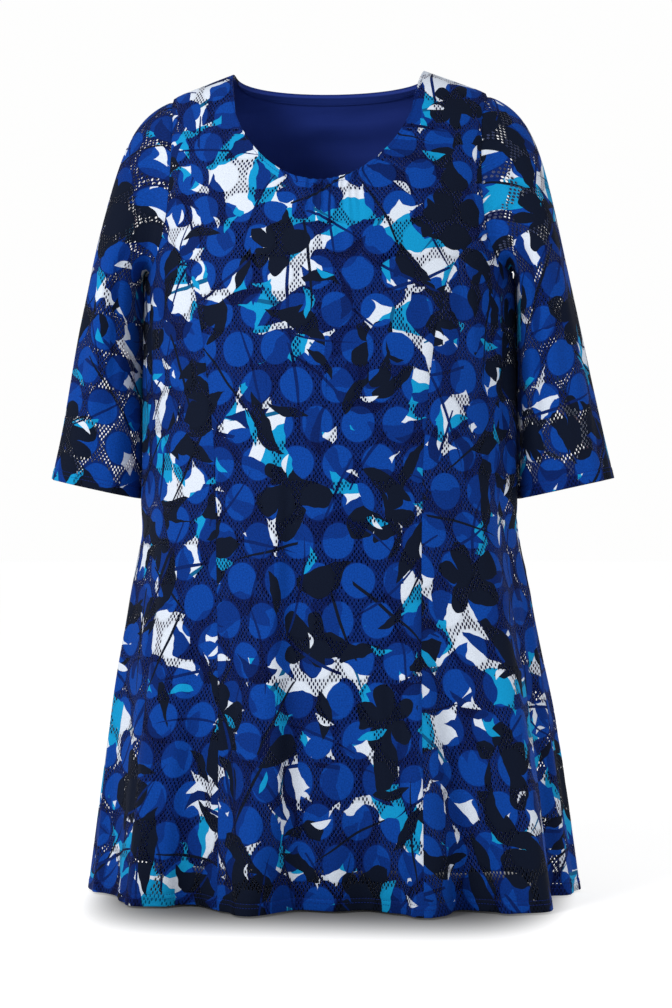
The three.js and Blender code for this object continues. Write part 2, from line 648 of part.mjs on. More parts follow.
function sleeveRing(loop, ring) {
  const lengths = loop.map((spot, i) => spot.point.distanceTo(loop[(i + 1) % loop.length].point));
  const lowest = loop.reduce((best, spot, i) => (spot.point.z < loop[best].point.z ? i : best), 0);
  const total = (list) => list.reduce((sum, length) => sum + length, 0);
  const frontLength = total(lengths.slice(0, lowest));
  const backLength = total(lengths.slice(lowest));
  const armPoint = (way, i) => {
    const place = i <= lowest
      ? (180 * total(lengths.slice(0, i))) / frontLength
      : 180 + (180 * total(lengths.slice(lowest, i))) / backLength;
    return { place, point: sleevePoint(way, place) };
  };
  return loop.map((spot, i) => {
    if (ring > HEAD_RINGS) return armPoint((ring - HEAD_RINGS) / ARM_RINGS, i).point;
    const { place, point: foot } = armPoint(0, i);
    const up = foot.clone().sub(armPoint(1 / ARM_RINGS, i).point).normalize();
    const run = roundArm(place, SLEEVE_HEAD.shoulderRun, SLEEVE_HEAD.chestRun, SLEEVE_HEAD.underarmRun);
    const fall = roundArm(place, SLEEVE_HEAD.shoulderFall, SLEEVE_HEAD.chestFall, SLEEVE_HEAD.underarmFall);
    const start = spot.point.clone().add(spot.step);
    const slope = radians(SLEEVE_HEAD.shoulderSlope);
    const alongShoulder = new THREE.Vector3(Math.cos(slope), 0, -Math.sin(slope));
    const ahead = spot.out.clone().lerp(alongShoulder, roundArm(place, 1, 0, 0)).normalize();
    const path = new THREE.CubicBezierCurve3(
      start,
      start.clone().addScaledVector(ahead, run),
      foot.clone().addScaledVector(up, fall),
      foot,
    );
    return path.getPoint(ring / HEAD_RINGS);
  });
}

// Sleeve wall: side is 1 for the wearer's left, -1 for the right.
function sleeve(side) {
  const loop = armholeLoop();
  const rings = range(HEAD_RINGS + ARM_RINGS + 1, (ring) => sleeveRing(loop, ring));
  const count = loop.length;
  const last = rings.length - 1;
  const grid = rings.map((points, r) => points.map((point, i) => {
    const round = points[(i + 1) % count].clone().sub(points[(i + count - 1) % count]);
    const down = rings[Math.min(r + 1, last)][i].clone().sub(rings[Math.max(r - 1, 0)][i]);
    const normal = r === 0 ? loop[i].normal : round.cross(down).normalize();
    return { point, normal };
  }));
  const mirrored = grid.map((row) => row.map(({ point, normal }) => ({
    point: new THREE.Vector3(-point.x, point.y, point.z),
    normal: new THREE.Vector3(-normal.x, normal.y, normal.z),
  })).reverse());
  return clothWall(side > 0 ? grid : mirrored, 0, -CLOTH, true);
}

// ---------------------------------------------------------------- the dress

function fabric(color, roughness) {
  return new THREE.MeshStandardMaterial({ color, roughness, metalness: 0, side: THREE.DoubleSide });
}

function piece(name, geometry, material) {
  const mesh = new THREE.Mesh(geometry, material);
  mesh.name = name;
  return mesh;
}

const PRINTED_BLUE = 0x1038a8;
const NAVY = 0x161c58;

const frontLining = liningGrid(liningPlaces(frontNeck));
const backLining = liningGrid(liningPlaces(backNeck).map((row) => row.map(toBack).reverse()));

const dress = new THREE.Group();
dress.add(
  piece("front_center_panel", frontCenterPanel(), fabric(PRINTED_BLUE, 0.75)),
  piece("front_side_panel_left", frontSidePanel(1), fabric(PRINTED_BLUE, 0.75)),
  piece("front_side_panel_right", frontSidePanel(-1), fabric(PRINTED_BLUE, 0.75)),
  piece("back_panel", backPanel(), fabric(PRINTED_BLUE, 0.75)),
  piece("sleeve_left", sleeve(1), fabric(PRINTED_BLUE, 0.75)),
  piece("sleeve_right", sleeve(-1), fabric(PRINTED_BLUE, 0.75)),
  piece("lining_front", clothWall(frontLining, 0, -LINING_CLOTH), fabric(NAVY, 0.85)),
  piece("lining_back", clothWall(backLining, 0, -LINING_CLOTH), fabric(NAVY, 0.85)),
  piece("back_neck_tape", backNeckTape(backLining), fabric(NAVY, 0.8)),
);

export default dress;
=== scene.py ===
import math

import bpy
import numpy as np
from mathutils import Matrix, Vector


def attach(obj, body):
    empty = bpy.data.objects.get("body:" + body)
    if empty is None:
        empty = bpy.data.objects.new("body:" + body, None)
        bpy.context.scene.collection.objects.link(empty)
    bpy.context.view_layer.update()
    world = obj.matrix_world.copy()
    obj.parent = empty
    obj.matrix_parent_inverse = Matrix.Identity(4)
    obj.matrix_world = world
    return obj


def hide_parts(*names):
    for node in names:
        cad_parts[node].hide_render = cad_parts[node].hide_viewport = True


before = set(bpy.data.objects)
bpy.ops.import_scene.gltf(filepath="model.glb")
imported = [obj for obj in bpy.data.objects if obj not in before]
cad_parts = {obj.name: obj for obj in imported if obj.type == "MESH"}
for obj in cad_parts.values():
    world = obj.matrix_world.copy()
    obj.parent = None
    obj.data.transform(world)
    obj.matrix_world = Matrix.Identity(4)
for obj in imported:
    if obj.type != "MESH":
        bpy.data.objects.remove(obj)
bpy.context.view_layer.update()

# The dress is shown as thin cloth shells on the forms of their CAD solids. Shapes are worked out in
# millimetres in the frame of the CAD model and become metres when a mesh is made. A place on the body
# is a turn (degrees round it: 0 the middle of the front, 90 the wearer's left side) and a drop (below
# the neck points), as in the CAD source.
METRE = 0.001

# ------------------------------------------------------------------ sizes shared with the CAD solids

LENGTH = 922.0
NECK_HALF_WIDTH = 108.0
NECK_FRONT_DROP = 136.0
NECK_BACK_DROP = 9.0
NECK_ROUNDNESS = 1.9
SHOULDER_DROP = 29.0
CHEST_DROP = 60.0
UNDERARM_DROP = 227.0
PRINCESS_TOP_DROP = 190.0
SKIRT_TOP_DROP = 300.0
GATHER_FROM = -20.0
GATHER_TO = 52.0

# Armholes: top, bottom, reach in from the side seam in degrees, more reach below, rounding.
FRONT_ARMHOLE = (29.0, 227.0, 32.0, 2.0, 0.45)
BACK_ARMHOLE = (29.0, 227.0, 27.0, 0.0, 0.8)
LINING_ARMHOLE = (26.0, 233.0, 36.0, 0.0, 0.6)

# Level sections: drop, half width, depth of the front, depth of the back, roundness.
SECTIONS = np.array([
    (-20, 58, 34, 52, 2.3), (0, 108, 48, 66, 2.3), (15, 147, 61, 78, 2.3), (29, 179, 71, 86, 2.3),
    (60, 193, 86, 102, 2.3), (100, 199, 100, 116, 2.3), (160, 203, 122, 125, 2.3),
    (227, 206, 145, 127, 2.3), (290, 206, 153, 122, 2.3), (400, 206, 146, 118, 2.3),
    (480, 208, 143, 122, 2.25), (595, 227, 143, 131, 2.2), (731, 248, 146, 143, 2.2),
    (922, 272, 150, 156, 2.2),
])
HALF_WIDTH, FRONT_DEPTH, BACK_DEPTH, ROUNDNESS = 1, 2, 3, 4

# Princess seam: drop, distance from the middle of the front.
PRINCESS_SEAM = np.array([
    (190, 181), (204, 163), (222, 149), (243, 139.5), (286, 129), (386, 117), (470, 112), (922, 111),
])

# Folds of the skirt: turn at the hem, lean from the waist, drop where it starts, height at the hem.
FOLDS = np.array([
    (-172, -3, 420, 17), (-158, 2, 380, -21), (-143, 3, 450, 19), (-128, 0, 400, -22),
    (-113, -2, 470, 16), (-100, 2, 430, -12), (-88, 0, 480, 4), (-64, -2, 470, -16), (-45, 2, 430, 13),
    (-30, -1, 520, -26), (-13, -6, 400, 21), (-3, 6, 400, -25), (2.5, 4, 560, -19), (9, 2, 600, -30),
    (23, 1, 540, 20), (33.5, 3, 480, -20), (45, 4, 560, 19), (55, 3, 430, 28), (74, 2, 400, -38),
    (91, 0, 500, 2), (106, -2, 440, 17), (121, 3, 400, -23), (137, 0, 470, 21), (152, -3, 390, -18),
    (170, 2, 450, -2),
])
FOLD_GROWTH = 1.2
FOLD_TOP_DROP = 320.0

LINING_LENGTH = 882.0
LINING_CLEARANCE = np.array([(0, 2.6), (300, 4), (400, 7), (600, 20), (882, 44)])
LINING_SEWN_DEPTH = 30.0
LINING_SEWN_GAP = 2.0
LINING_NECK_INSET = 1.4

# Sleeve sections: inner drop and reach, outer drop and reach, half depth, middle.
SLEEVE_RINGS = np.array([
    (247, 209.5, 233, 269, 84, -2), (300, 210.5, 290, 281.5, 78, -2), (360, 211.5, 346, 293.5, 70, -1),
    (420, 213, 402, 306, 62, 1), (480, 215, 457, 319, 56, 3),
])
SLEEVE_ROUNDNESS = 2.25
SHOULDER_RUN, CHEST_RUN, UNDERARM_RUN = 60.0, 26.0, 6.0
SHOULDER_FALL, CHEST_FALL, UNDERARM_FALL = 130.0, 48.0, 22.0
SHOULDER_SLOPE = 20.0
# Troughs of the sleeves: place round the arm, width, height, where it starts.
SLEEVE_FOLDS = [(150, 22, -5, 0.1), (96, 18, -3, 0.35), (236, 24, -5, 0.2)]

# ------------------------------------------------------------------ sizes that only the looks need

# Thickness of the outer cloth in the solids, and of the shells shown here.
WALL = 1.5
CLOTH = 0.5
LINING_CLOTH = 0.6
TAPE_CLOTH = 0.8
HEM_TURN = 13.0
NECK_TURN = 7.0


def rad(angle):
    return np.radians(angle)


def ease(t):
    s = np.clip(t, 0, 1)
    return s * s * (3 - 2 * s)


def mix(a, b, t):
    return a + (b - a) * t


def signed_power(value, power):
    return np.sign(value) * np.abs(value) ** power


def unit(vectors):
    return vectors / np.maximum(np.linalg.norm(vectors, axis=-1, keepdims=True), 1e-9)


def read_table(table, column, at, key=0):
    """One column of a table at places between its rows: a smooth curve that never overshoots them."""
    keys = table[:, key]
    values = table[:, column]
    place = np.clip(at, keys[0], keys[-1])
    upper = np.clip(np.searchsorted(keys, place), 1, len(keys) - 1)
    steep = np.diff(values) / np.diff(keys)
    product = steep[:-1] * steep[1:]
    total = steep[:-1] + steep[1:]
    inner = np.where(product > 0, 2 * product / np.where(total == 0, 1, total), 0)
    slopes = np.concatenate([steep[:1], inner, steep[-1:]])
    span = keys[upper] - keys[upper - 1]
    t = (place - keys[upper - 1]) / span
    straight = mix(values[upper - 1], values[upper], ease(t))
    return straight + t * (1 - t) * span * ((1 - t) * slopes[upper - 1] - t * slopes[upper])


# ------------------------------------------------------------------ the body surface

def fold_height(turn, drop):
    down = np.clip((drop - UNDERARM_DROP) / (LENGTH - UNDERARM_DROP), 0, 1)[..., None]
    places = FOLDS[:, 0] - FOLDS[:, 1] * (1 - down)
    grown = np.clip((drop[..., None] - FOLDS[:, 2]) / (LENGTH - FOLDS[:, 2]), 0, 1) ** FOLD_GROWTH
    heights = FOLDS[:, 3] * grown
    places = np.concatenate([places, places[..., :1] + 360], axis=-1)
    heights = np.concatenate([heights, heights[..., :1]], axis=-1)
    around = places[..., 0] + np.mod(turn - places[..., 0], 360)
    after = np.clip(np.sum(places <= around[..., None], axis=-1), 1, len(FOLDS))[..., None]
    start = np.take_along_axis(places, after - 1, -1)[..., 0]
    end = np.take_along_axis(places, after, -1)[..., 0]
    low = np.take_along_axis(heights, after - 1, -1)[..., 0]
    high = np.take_along_axis(heights, after, -1)[..., 0]
    return mix(low, high, ease((around - start) / (end - start)))


def section_at(turn, drop):
    """Half width, depth and roundness of the level sections, and the places' shares of both."""
    is_front = np.cos(rad(turn)) >= 0
    roundness = read_table(SECTIONS, ROUNDNESS, drop)
    half_width = read_table(SECTIONS, HALF_WIDTH, drop)
    chest_width = read_table(SECTIONS, HALF_WIDTH, np.maximum(drop, CHEST_DROP))
    depth = np.where(is_front, read_table(SECTIONS, FRONT_DEPTH, drop),
                     read_table(SECTIONS, BACK_DEPTH, drop))
    sine = np.sin(rad(turn))
    across = np.minimum(chest_width * np.abs(sine) ** (2 / roundness) / half_width, 1)
    ahead = (1 - across ** roundness) ** (1 / roundness)
    return half_width, depth, roundness, np.sign(sine) * across, np.where(is_front, -ahead, ahead)


def level_outward(half_width, depth, roundness, across, ahead):
    x = signed_power(across, roundness - 1) / half_width
    y = signed_power(ahead, roundness - 1) / depth
    return np.stack([x, y, np.zeros_like(x)], axis=-1)


def body_point(turn, drop, flat=False):
    section = section_at(turn, drop)
    half_width, depth, _, across, ahead = section
    point = np.stack([half_width * across, depth * ahead, -drop], axis=-1)
    if flat:
        return point
    return point + unit(level_outward(*section)) * fold_height(turn, drop)[..., None]


def body_normal(turn, drop, flat=False):
    section = section_at(turn, drop)
    half_width, depth, roundness, across, ahead = section

    def growth(column):
        return (read_table(SECTIONS, column, drop + 1) - read_table(SECTIONS, column, drop - 1)) / 2

    deeper = np.where(ahead < 0, growth(FRONT_DEPTH), growth(BACK_DEPTH)) / depth
    rise = np.abs(across) ** roundness * growth(HALF_WIDTH) / half_width
    rise = rise + np.abs(ahead) ** roundness * deeper
    plain = level_outward(*section)
    plain[..., 2] = rise
    plain = unit(plain)
    if flat:
        return plain
    around = body_point(turn + 1, drop) - body_point(turn - 1, drop)
    down = body_point(turn, drop + 1) - body_point(turn, drop - 1)
    folded = unit(np.cross(down, around))
    return np.where((drop > FOLD_TOP_DROP)[..., None], folded, plain)


def front_turn(reach, drop):
    """Turn of the front place that lies a given distance from the middle of the plain body."""
    chest_width = read_table(SECTIONS, HALF_WIDTH, np.maximum(drop, CHEST_DROP))
    roundness = read_table(SECTIONS, ROUNDNESS, drop)
    share = np.clip(np.abs(reach) / chest_width, 0, 1)
    return np.sign(reach) * np.degrees(np.arcsin(share ** (roundness / 2)))


# ------------------------------------------------------------------ edges of the panels
# An edge is a pair of arrays: the turns and the drops of its places.

def shoulder_edge(tip_drop, neck_drop, count):
    drop = np.linspace(tip_drop, neck_drop, count + 1)
    return front_turn(read_table(SECTIONS, HALF_WIDTH, drop), drop), drop


def armhole_edge(armhole, swings):
    top, bottom, reach, lower_reach, rounding = armhole
    sine = np.sin(rad(swings))
    cosine = np.maximum(np.cos(rad(swings)), 0)
    drop = mix(top, bottom, (1 + sine) / 2)
    tip = front_turn(read_table(SECTIONS, HALF_WIDTH, top), top)
    upper = mix(tip, 90 - reach, cosine ** 2)
    lower = 90 - (reach + lower_reach * np.maximum(sine, 0)) * cosine ** rounding
    return np.where(sine < 0, upper, lower), drop


def neckline_edge(half_width, point_drop, lowest, reach):
    share = np.clip(np.abs(reach) / half_width, 0, 1)
    drop = mix(point_drop, lowest, (1 - share ** NECK_ROUNDNESS) ** (1 / NECK_ROUNDNESS))
    return front_turn(reach, drop), drop


def join(*edges):
    """Edges that follow each other, without the shared places said twice."""
    turns = [edges[0][0]] + [edge[0][1:] for edge in edges[1:]]
    drops = [edges[0][1]] + [edge[1][1:] for edge in edges[1:]]
    return np.concatenate(turns), np.concatenate(drops)


def backwards(edge):
    return edge[0][::-1], edge[1][::-1]


def to_right(edge):
    return -edge[0], edge[1]


def to_back(edge):
    return 180 - edge[0], edge[1]


# Distances up from the hem where rows lie closer together, for the turned band.
HEM_ROWS = np.array([0, 0.4, 1.2, 3, 6, 9, 11, 12.2, 13, 13.8, 15, 17, 20])
ROW_STEP = 5.4


def levels(hem, top, fine_hem=True):
    """Drops of the rows from the hem up to the top of a seam."""
    rows = HEM_ROWS if fine_hem else HEM_ROWS[:1]
    start = hem - rows[-1]
    count = round((start - SKIRT_TOP_DROP) / ROW_STEP)
    skirt = np.linspace(start, SKIRT_TOP_DROP, count + 1)
    bust = np.linspace(SKIRT_TOP_DROP, top, round((SKIRT_TOP_DROP - top) / ROW_STEP) + 1)
    return np.concatenate([hem - rows[:-1], skirt, bust[1:]])


PRINCESS_SWING = math.degrees(math.asin((2 * PRINCESS_TOP_DROP - SHOULDER_DROP - UNDERARM_DROP)
                                        / (UNDERARM_DROP - SHOULDER_DROP)))

# Rows lie closer together towards the top, where the necklines are turned in.
TOP_ROWS = 14
TOP_SWINGS = 12.0
TOP_CLOSENESS = 1.35


def swings(start, rows):
    main = np.linspace(start, TOP_SWINGS - 90, rows + 1)
    close = -90 + TOP_SWINGS * np.linspace(1, 0, TOP_ROWS + 1) ** TOP_CLOSENESS
    return np.concatenate([main, close[1:]])


# Columns along one shoulder of each panel.
FRONT_SHOULDER_COLUMNS, BACK_SHOULDER_COLUMNS, LINING_SHOULDER_COLUMNS = 12, 21, 12
BACK_NECK_COLUMNS, LINING_NECK_COLUMNS = 126, 64

FRONT_SWINGS = swings(PRINCESS_SWING, 26)
BACK_SWINGS = swings(90.0, 38)
LINING_SWINGS = np.linspace(90, -90, 31)
UNDERARM_COLUMNS = 40

front_armhole = armhole_edge(FRONT_ARMHOLE, FRONT_SWINGS)
underarm = armhole_edge(FRONT_ARMHOLE, np.linspace(90, PRINCESS_SWING, UNDERARM_COLUMNS + 1))
back_armhole = to_back(armhole_edge(BACK_ARMHOLE, BACK_SWINGS))
lining_armhole = armhole_edge(LINING_ARMHOLE, LINING_SWINGS)

princess_drops = levels(LENGTH, PRINCESS_TOP_DROP)
princess_seam = (front_turn(read_table(PRINCESS_SEAM, 1, princess_drops), princess_drops),
                 princess_drops)


def side_seam(hem, top, fine_hem=True):
    drops = levels(hem, top, fine_hem)
    return np.full_like(drops, 90.0), drops


def scoop(half_width, point_drop, lowest, from_angle, to_angle, count):
    """Part of a neckline from one angle of its scoop to another; angle 0 is the left neck point."""
    share = np.cos(rad(np.linspace(from_angle, to_angle, count + 1)))
    reach = half_width * signed_power(share, 2 / NECK_ROUNDNESS)
    return neckline_edge(half_width, point_drop, lowest, reach)


def scoop_angle(reach):
    return math.degrees(math.acos(math.copysign(abs(reach / NECK_HALF_WIDTH) ** (NECK_ROUNDNESS / 2),
                                                reach)))


def front_top(side_columns=20, gather_columns=60):
    shoulder = shoulder_edge(SHOULDER_DROP, 0, FRONT_SHOULDER_COLUMNS)
    middle = neckline_edge(NECK_HALF_WIDTH, 0, NECK_FRONT_DROP,
                           np.linspace(GATHER_FROM, GATHER_TO, gather_columns + 1))
    scoop_to = (NECK_HALF_WIDTH, 0, NECK_FRONT_DROP, 0)
    left = backwards(scoop(*scoop_to, scoop_angle(GATHER_TO), side_columns))
    right = to_right(scoop(*scoop_to, scoop_angle(-GATHER_FROM), side_columns))
    return join(to_right(shoulder), right, middle, left, backwards(shoulder))


def even_top(neck, tip_drop, shoulder_columns, neck_columns):
    half_width, point_drop, lowest = neck
    arc = scoop(half_width, point_drop, lowest, 0, 90, neck_columns // 2)
    left = join(shoulder_edge(tip_drop, point_drop, shoulder_columns), arc)
    return join(to_right(left), backwards(left))


SIDE_PULL = 2.5
TOP_PULL = 2.5


def fill_grid(left, right, bottom, top):
    """Turns and drops of the places of a panel between its four edges, as the CAD source fills it."""
    across = np.linspace(0, 1, len(bottom[0]))[None, :]
    up = ((left[1][0] - left[1]) / (left[1][0] - left[1][-1]))[:, None]
    straight = mix(bottom[0][None, :], top[0][None, :], up)
    left_bend = (left[0][:, None] - straight[:, :1]) * (1 - across) ** SIDE_PULL
    right_bend = (right[0][:, None] - straight[:, -1:]) * across ** SIDE_PULL
    level = mix(left[1][:, None], right[1][:, None], across)
    drop = level + (top[1][None, :] - level[-1:]) * up ** TOP_PULL
    return straight + left_bend + right_bend, drop


def lengths_from_edges(points):
    """Distances along the grid lines to the left, right, bottom and top edges."""
    across = np.linalg.norm(np.diff(points, axis=1), axis=-1)
    along = np.linalg.norm(np.diff(points, axis=0), axis=-1)
    left = np.concatenate([np.zeros((len(points), 1)), np.cumsum(across, axis=1)], axis=1)
    bottom = np.concatenate([np.zeros((1, points.shape[1])), np.cumsum(along, axis=0)], axis=0)
    return left, left[:, -1:] - left, bottom, bottom[-1:] - bottom


# ------------------------------------------------------------------ creases of the cloth

NOISE_VALUES, NOISE_START = 512, 200


def smooth_noise(at, wavelength, seed):
    """Even noise between -1 and 1 along a line."""
    values = np.random.default_rng(seed).uniform(-1, 1, NOISE_VALUES)
    place = np.asarray(at, dtype=float) / wavelength + NOISE_START
    cell = np.floor(place).astype(int)
    return mix(values[cell % NOISE_VALUES], values[(cell + 1) % NOISE_VALUES], ease(place - cell))


def ridge(away, width):
    return np.exp(-(away / width) ** 2)


def turn_away(turn, line):
    """Degrees from a line round the body or the arm, between -180 and 180."""
    return np.mod(turn - line + 180, 360) - 180


# Soft creases of the body: turn, lean in degrees per 100 mm, first and last drop, width in degrees,
# height (ridges above 0).
CREASES = [
    # under the right armhole and beside the right princess seam
    (-71, 0.5, 225, 420, 2.6, -2.4), (-64, 0.8, 205, 400, 2.4, 1.8), (-57, 0.2, 215, 380, 2.2, -2.2),
    (-50, 0.0, 190, 350, 2.2, 1.6), (-43.5, 0.4, 175, 390, 2.0, -2.0), (-37, 0.6, 185, 360, 2.2, 1.4),
    (-30, 0.3, 200, 340, 2.0, -1.4), (-23, 0.2, 215, 400, 2.4, 1.2), (-17, -0.4, 250, 420, 2.4, -1.3),
    # under the left armhole and beside the left princess seam
    (74, -0.6, 230, 430, 2.6, -2.4), (67, -0.5, 215, 390, 2.2, 1.6), (60, -0.2, 230, 420, 2.4, -2.0),
    (52, -0.6, 200, 370, 2.2, 1.5), (45, -0.3, 185, 350, 2.0, -1.8), (38, 0.2, 190, 380, 2.2, 1.3),
    (29, -0.3, 210, 360, 2.2, -1.4), (18, 0.3, 260, 430, 2.6, 1.2),
    # lower front, between the great folds
    (-52, 0.3, 520, 922, 2.0, -3.0), (-37, 0.0, 600, 922, 1.8, 3.0), (-21, 0.4, 560, 922, 2.0, -3.4),
    (-8, 0.0, 620, 900, 1.6, 2.6), (16, 0.2, 560, 922, 1.9, -3.2), (28, 0.0, 640, 922, 1.7, 2.6),
    (39, 0.3, 600, 922, 1.8, -2.8), (64, 0.2, 540, 922, 2.2, 3.2), (82, 0.0, 500, 922, 2.4, -3.0),
    (-76, 0.0, 520, 922, 2.4, 2.8),
    # shoulders and upper chest
    (-36, -2.0, 60, 170, 2.4, -1.4), (-28, -1.4, 70, 190, 2.6, 1.0), (37, 1.8, 60, 175, 2.4, -1.5),
    (30, 1.3, 75, 190, 2.6, 1.0),
    # back
    (-172, 0.2, 60, 330, 2.6, -1.6), (-160, 0.8, 90, 360, 2.6, 1.4), (-148, 1.0, 80, 330, 2.4, -1.8),
    (-137, 1.2, 120, 380, 2.6, 1.5), (-124, 0.6, 220, 420, 2.6, -2.2), (-112, 0.2, 240, 430, 2.4, 1.8),
    (-101, 0.0, 235, 440, 2.4, -2.2), (172, -0.3, 80, 380, 2.8, 1.4), (161, -0.8, 70, 320, 2.6, -1.7),
    (149, -1.2, 90, 360, 2.4, 1.5), (138, -1.0, 110, 370, 2.6, -1.8), (126, -0.4, 225, 400, 2.6, 1.8),
    (113, -0.2, 235, 430, 2.4, -2.3), (102, 0.0, 240, 420, 2.4, 1.6),
    (-165, 0.0, 560, 922, 2.0, 3.0), (-150, 0.2, 600, 922, 1.8, -3.0), (-135, 0.0, 560, 922, 2.0, 3.0),
    (-120, 0.3, 620, 922, 1.8, -2.8), (-106, 0.0, 560, 922, 2.2, 2.8), (164, 0.0, 600, 922, 2.0, 3.0),
    (145, 0.2, 580, 922, 1.9, -3.0), (129, 0.0, 600, 922, 1.8, 2.8), (114, 0.2, 560, 922, 2.1, -2.8),
    (98, 0.0, 600, 922, 1.9, 2.4), (178, 0.1, 520, 922, 2.2, -3.2),
]
# The share of a crease over which it fades in and out (one that reaches the hem doesn't fade out), how
# far it wanders in degrees, and the heights' factors on the bodice and on the skirt.
CREASE_FADE = 0.45
CREASE_WANDER = 1.2
BODICE_CREASES, SKIRT_CREASES = 1.3, 1.8
# The sides swell a little below the arms, in front of the side seams, and the sleeves behind them, so
# that no light shows between sleeve and body: height, turn and width in degrees, the drops where it
# starts, its share of the height there, and the drops where it is full and where it ends.
SIDE_SWELL = 5.8
SWELL_TURN, SWELL_WIDTH = 83, 6
SWELL_START, SWELL_RISE = 227, 16
SWELL_LEAST, SWELL_GROWS_FROM, SWELL_GROWTH = 0.66, 250, 100
SWELL_END, SWELL_FALL = 525, 45


def creases(turn, drop):
    around = np.abs(np.mod(turn + 180, 360) - 180)
    beside_arm = ease((drop - SWELL_START) / SWELL_RISE) * ease((SWELL_END - drop) / SWELL_FALL)
    beside_arm = beside_arm * mix(SWELL_LEAST, 1, ease((drop - SWELL_GROWS_FROM) / SWELL_GROWTH))
    deeper = mix(BODICE_CREASES, SKIRT_CREASES, ease((drop - 450) / 200))
    height = SIDE_SWELL * beside_arm * ridge(around - SWELL_TURN, SWELL_WIDTH)
    for row, (place, lean, top, bottom, width, out) in enumerate(CREASES):
        line = place + lean * (drop - top) / 100 + CREASE_WANDER * smooth_noise(drop, 90, 40 + row)
        share = (drop - top) / (bottom - top)
        ends = ease(share / CREASE_FADE)
        if bottom < LENGTH:
            ends = ends * ease((1 - share) / CREASE_FADE)
        height += deeper * out * ends * ridge(turn_away(turn, line), width)
    return height


# Pleats under the front neckline: reach where one starts, its width, height, length and lean.
PLEATS = [
    (-21, 3.0, 3.0, 66, -0.10), (-14, 2.6, 4.0, 104, -0.06), (-6, 2.8, 3.6, 84, -0.03),
    (1, 2.5, 4.4, 132, 0.0), (8, 2.7, 3.8, 96, 0.02), (15, 2.4, 4.2, 114, 0.03),
    (22, 2.7, 3.6, 78, 0.05), (29, 2.6, 4.4, 140, 0.07), (36.5, 2.6, 3.6, 92, 0.10),
    (44, 2.8, 4.0, 108, 0.13), (52, 3.2, 2.8, 66, 0.16),
]


def pleats(points, turn, drop):
    """Gathers that fan out below the middle of the front neckline."""
    reach = points[..., 0]
    _, edge_drop = neckline_edge(NECK_HALF_WIDTH, 0, NECK_FRONT_DROP, reach)
    below = np.maximum(drop - edge_drop, 0)
    height = np.zeros_like(turn)
    for start, width, out, length, lean in PLEATS:
        line = start + lean * below + 1.0 * smooth_noise(below + 37 * start, 40, 7)
        wider = width * (1 + below / 110)
        fade = (1 - ease(below / length)) * (0.7 + 0.3 * ease(below / 6))
        height += out * fade * ridge(reach - line, wider)
    inside = ease((reach - GATHER_FROM + 14) / 12) * ease((GATHER_TO + 14 - reach) / 12)
    return (height - 0.8 * (1 - ease(below / 90))) * inside


SEAM_DIP, SEAM_WIDTH = 1.5, 2.2
PUCKER, PUCKER_PITCH = 0.45, 6.5


def seam_dip(distance, along, seed):
    """Cloth pulled in along a seam, with small puckers beside it."""
    pucker = PUCKER * smooth_noise(along, PUCKER_PITCH, seed) * ridge(distance - 4, 4.5)
    return pucker * ease(distance / 2) - SEAM_DIP * ridge(distance, SEAM_WIDTH)


# An edge turned in and stitched: how far its edge is rounded and how deep, and the stitch line's dip.
EDGE_REACH, EDGE_DEPTH = 1.2, 0.45
STITCH_DIP, STITCH_DIP_WIDTH = 0.55, 1.0


def turned_band(distance, width, raised=0.35):
    """Profile across an edge turned in and stitched: rounded edge, raised band, stitch line."""
    share = 1 - distance / EDGE_REACH
    edge = np.where(distance < EDGE_REACH, np.sqrt(np.clip(1 - share ** 2, 0, 1)) - 1, 0)
    band = raised * ease((width + 1 - distance) / 2)
    return EDGE_DEPTH * edge + band - STITCH_DIP * ridge(distance - width, STITCH_DIP_WIDTH)


# ------------------------------------------------------------------ meshes

# The knit gives more the lower it hangs: its length over its slack length, by drop.
STRETCH = np.array([(60, 1.0), (300, 1.08), (922, 1.2)])
WALK_STEPS = 36


def cloth_coordinates(turn, drop, middle, flat=False):
    """Metres across and up the slack cloth, from the middle of a panel and from the hem."""
    steps = np.linspace(0, 1, WALK_STEPS + 1)
    around = mix(middle, turn[..., None], steps)
    levels_here = np.broadcast_to(drop[..., None], around.shape)
    across = np.linalg.norm(np.diff(body_point(around, levels_here, flat), axis=-2), axis=-1).sum(-1)
    falling = mix(drop[..., None], LENGTH, steps)
    column = np.broadcast_to(turn[..., None], falling.shape)
    pieces = np.linalg.norm(np.diff(body_point(column, falling, True), axis=-2), axis=-1)
    slack = read_table(STRETCH, 1, (falling[..., 1:] + falling[..., :-1]) / 2)
    up = (pieces / slack).sum(-1)
    return np.stack([np.sign(turn - middle) * across, up], axis=-1) * METRE


def add_object(name, mesh):
    made = bpy.data.objects.new(name, mesh)
    bpy.context.scene.collection.objects.link(made)
    return made


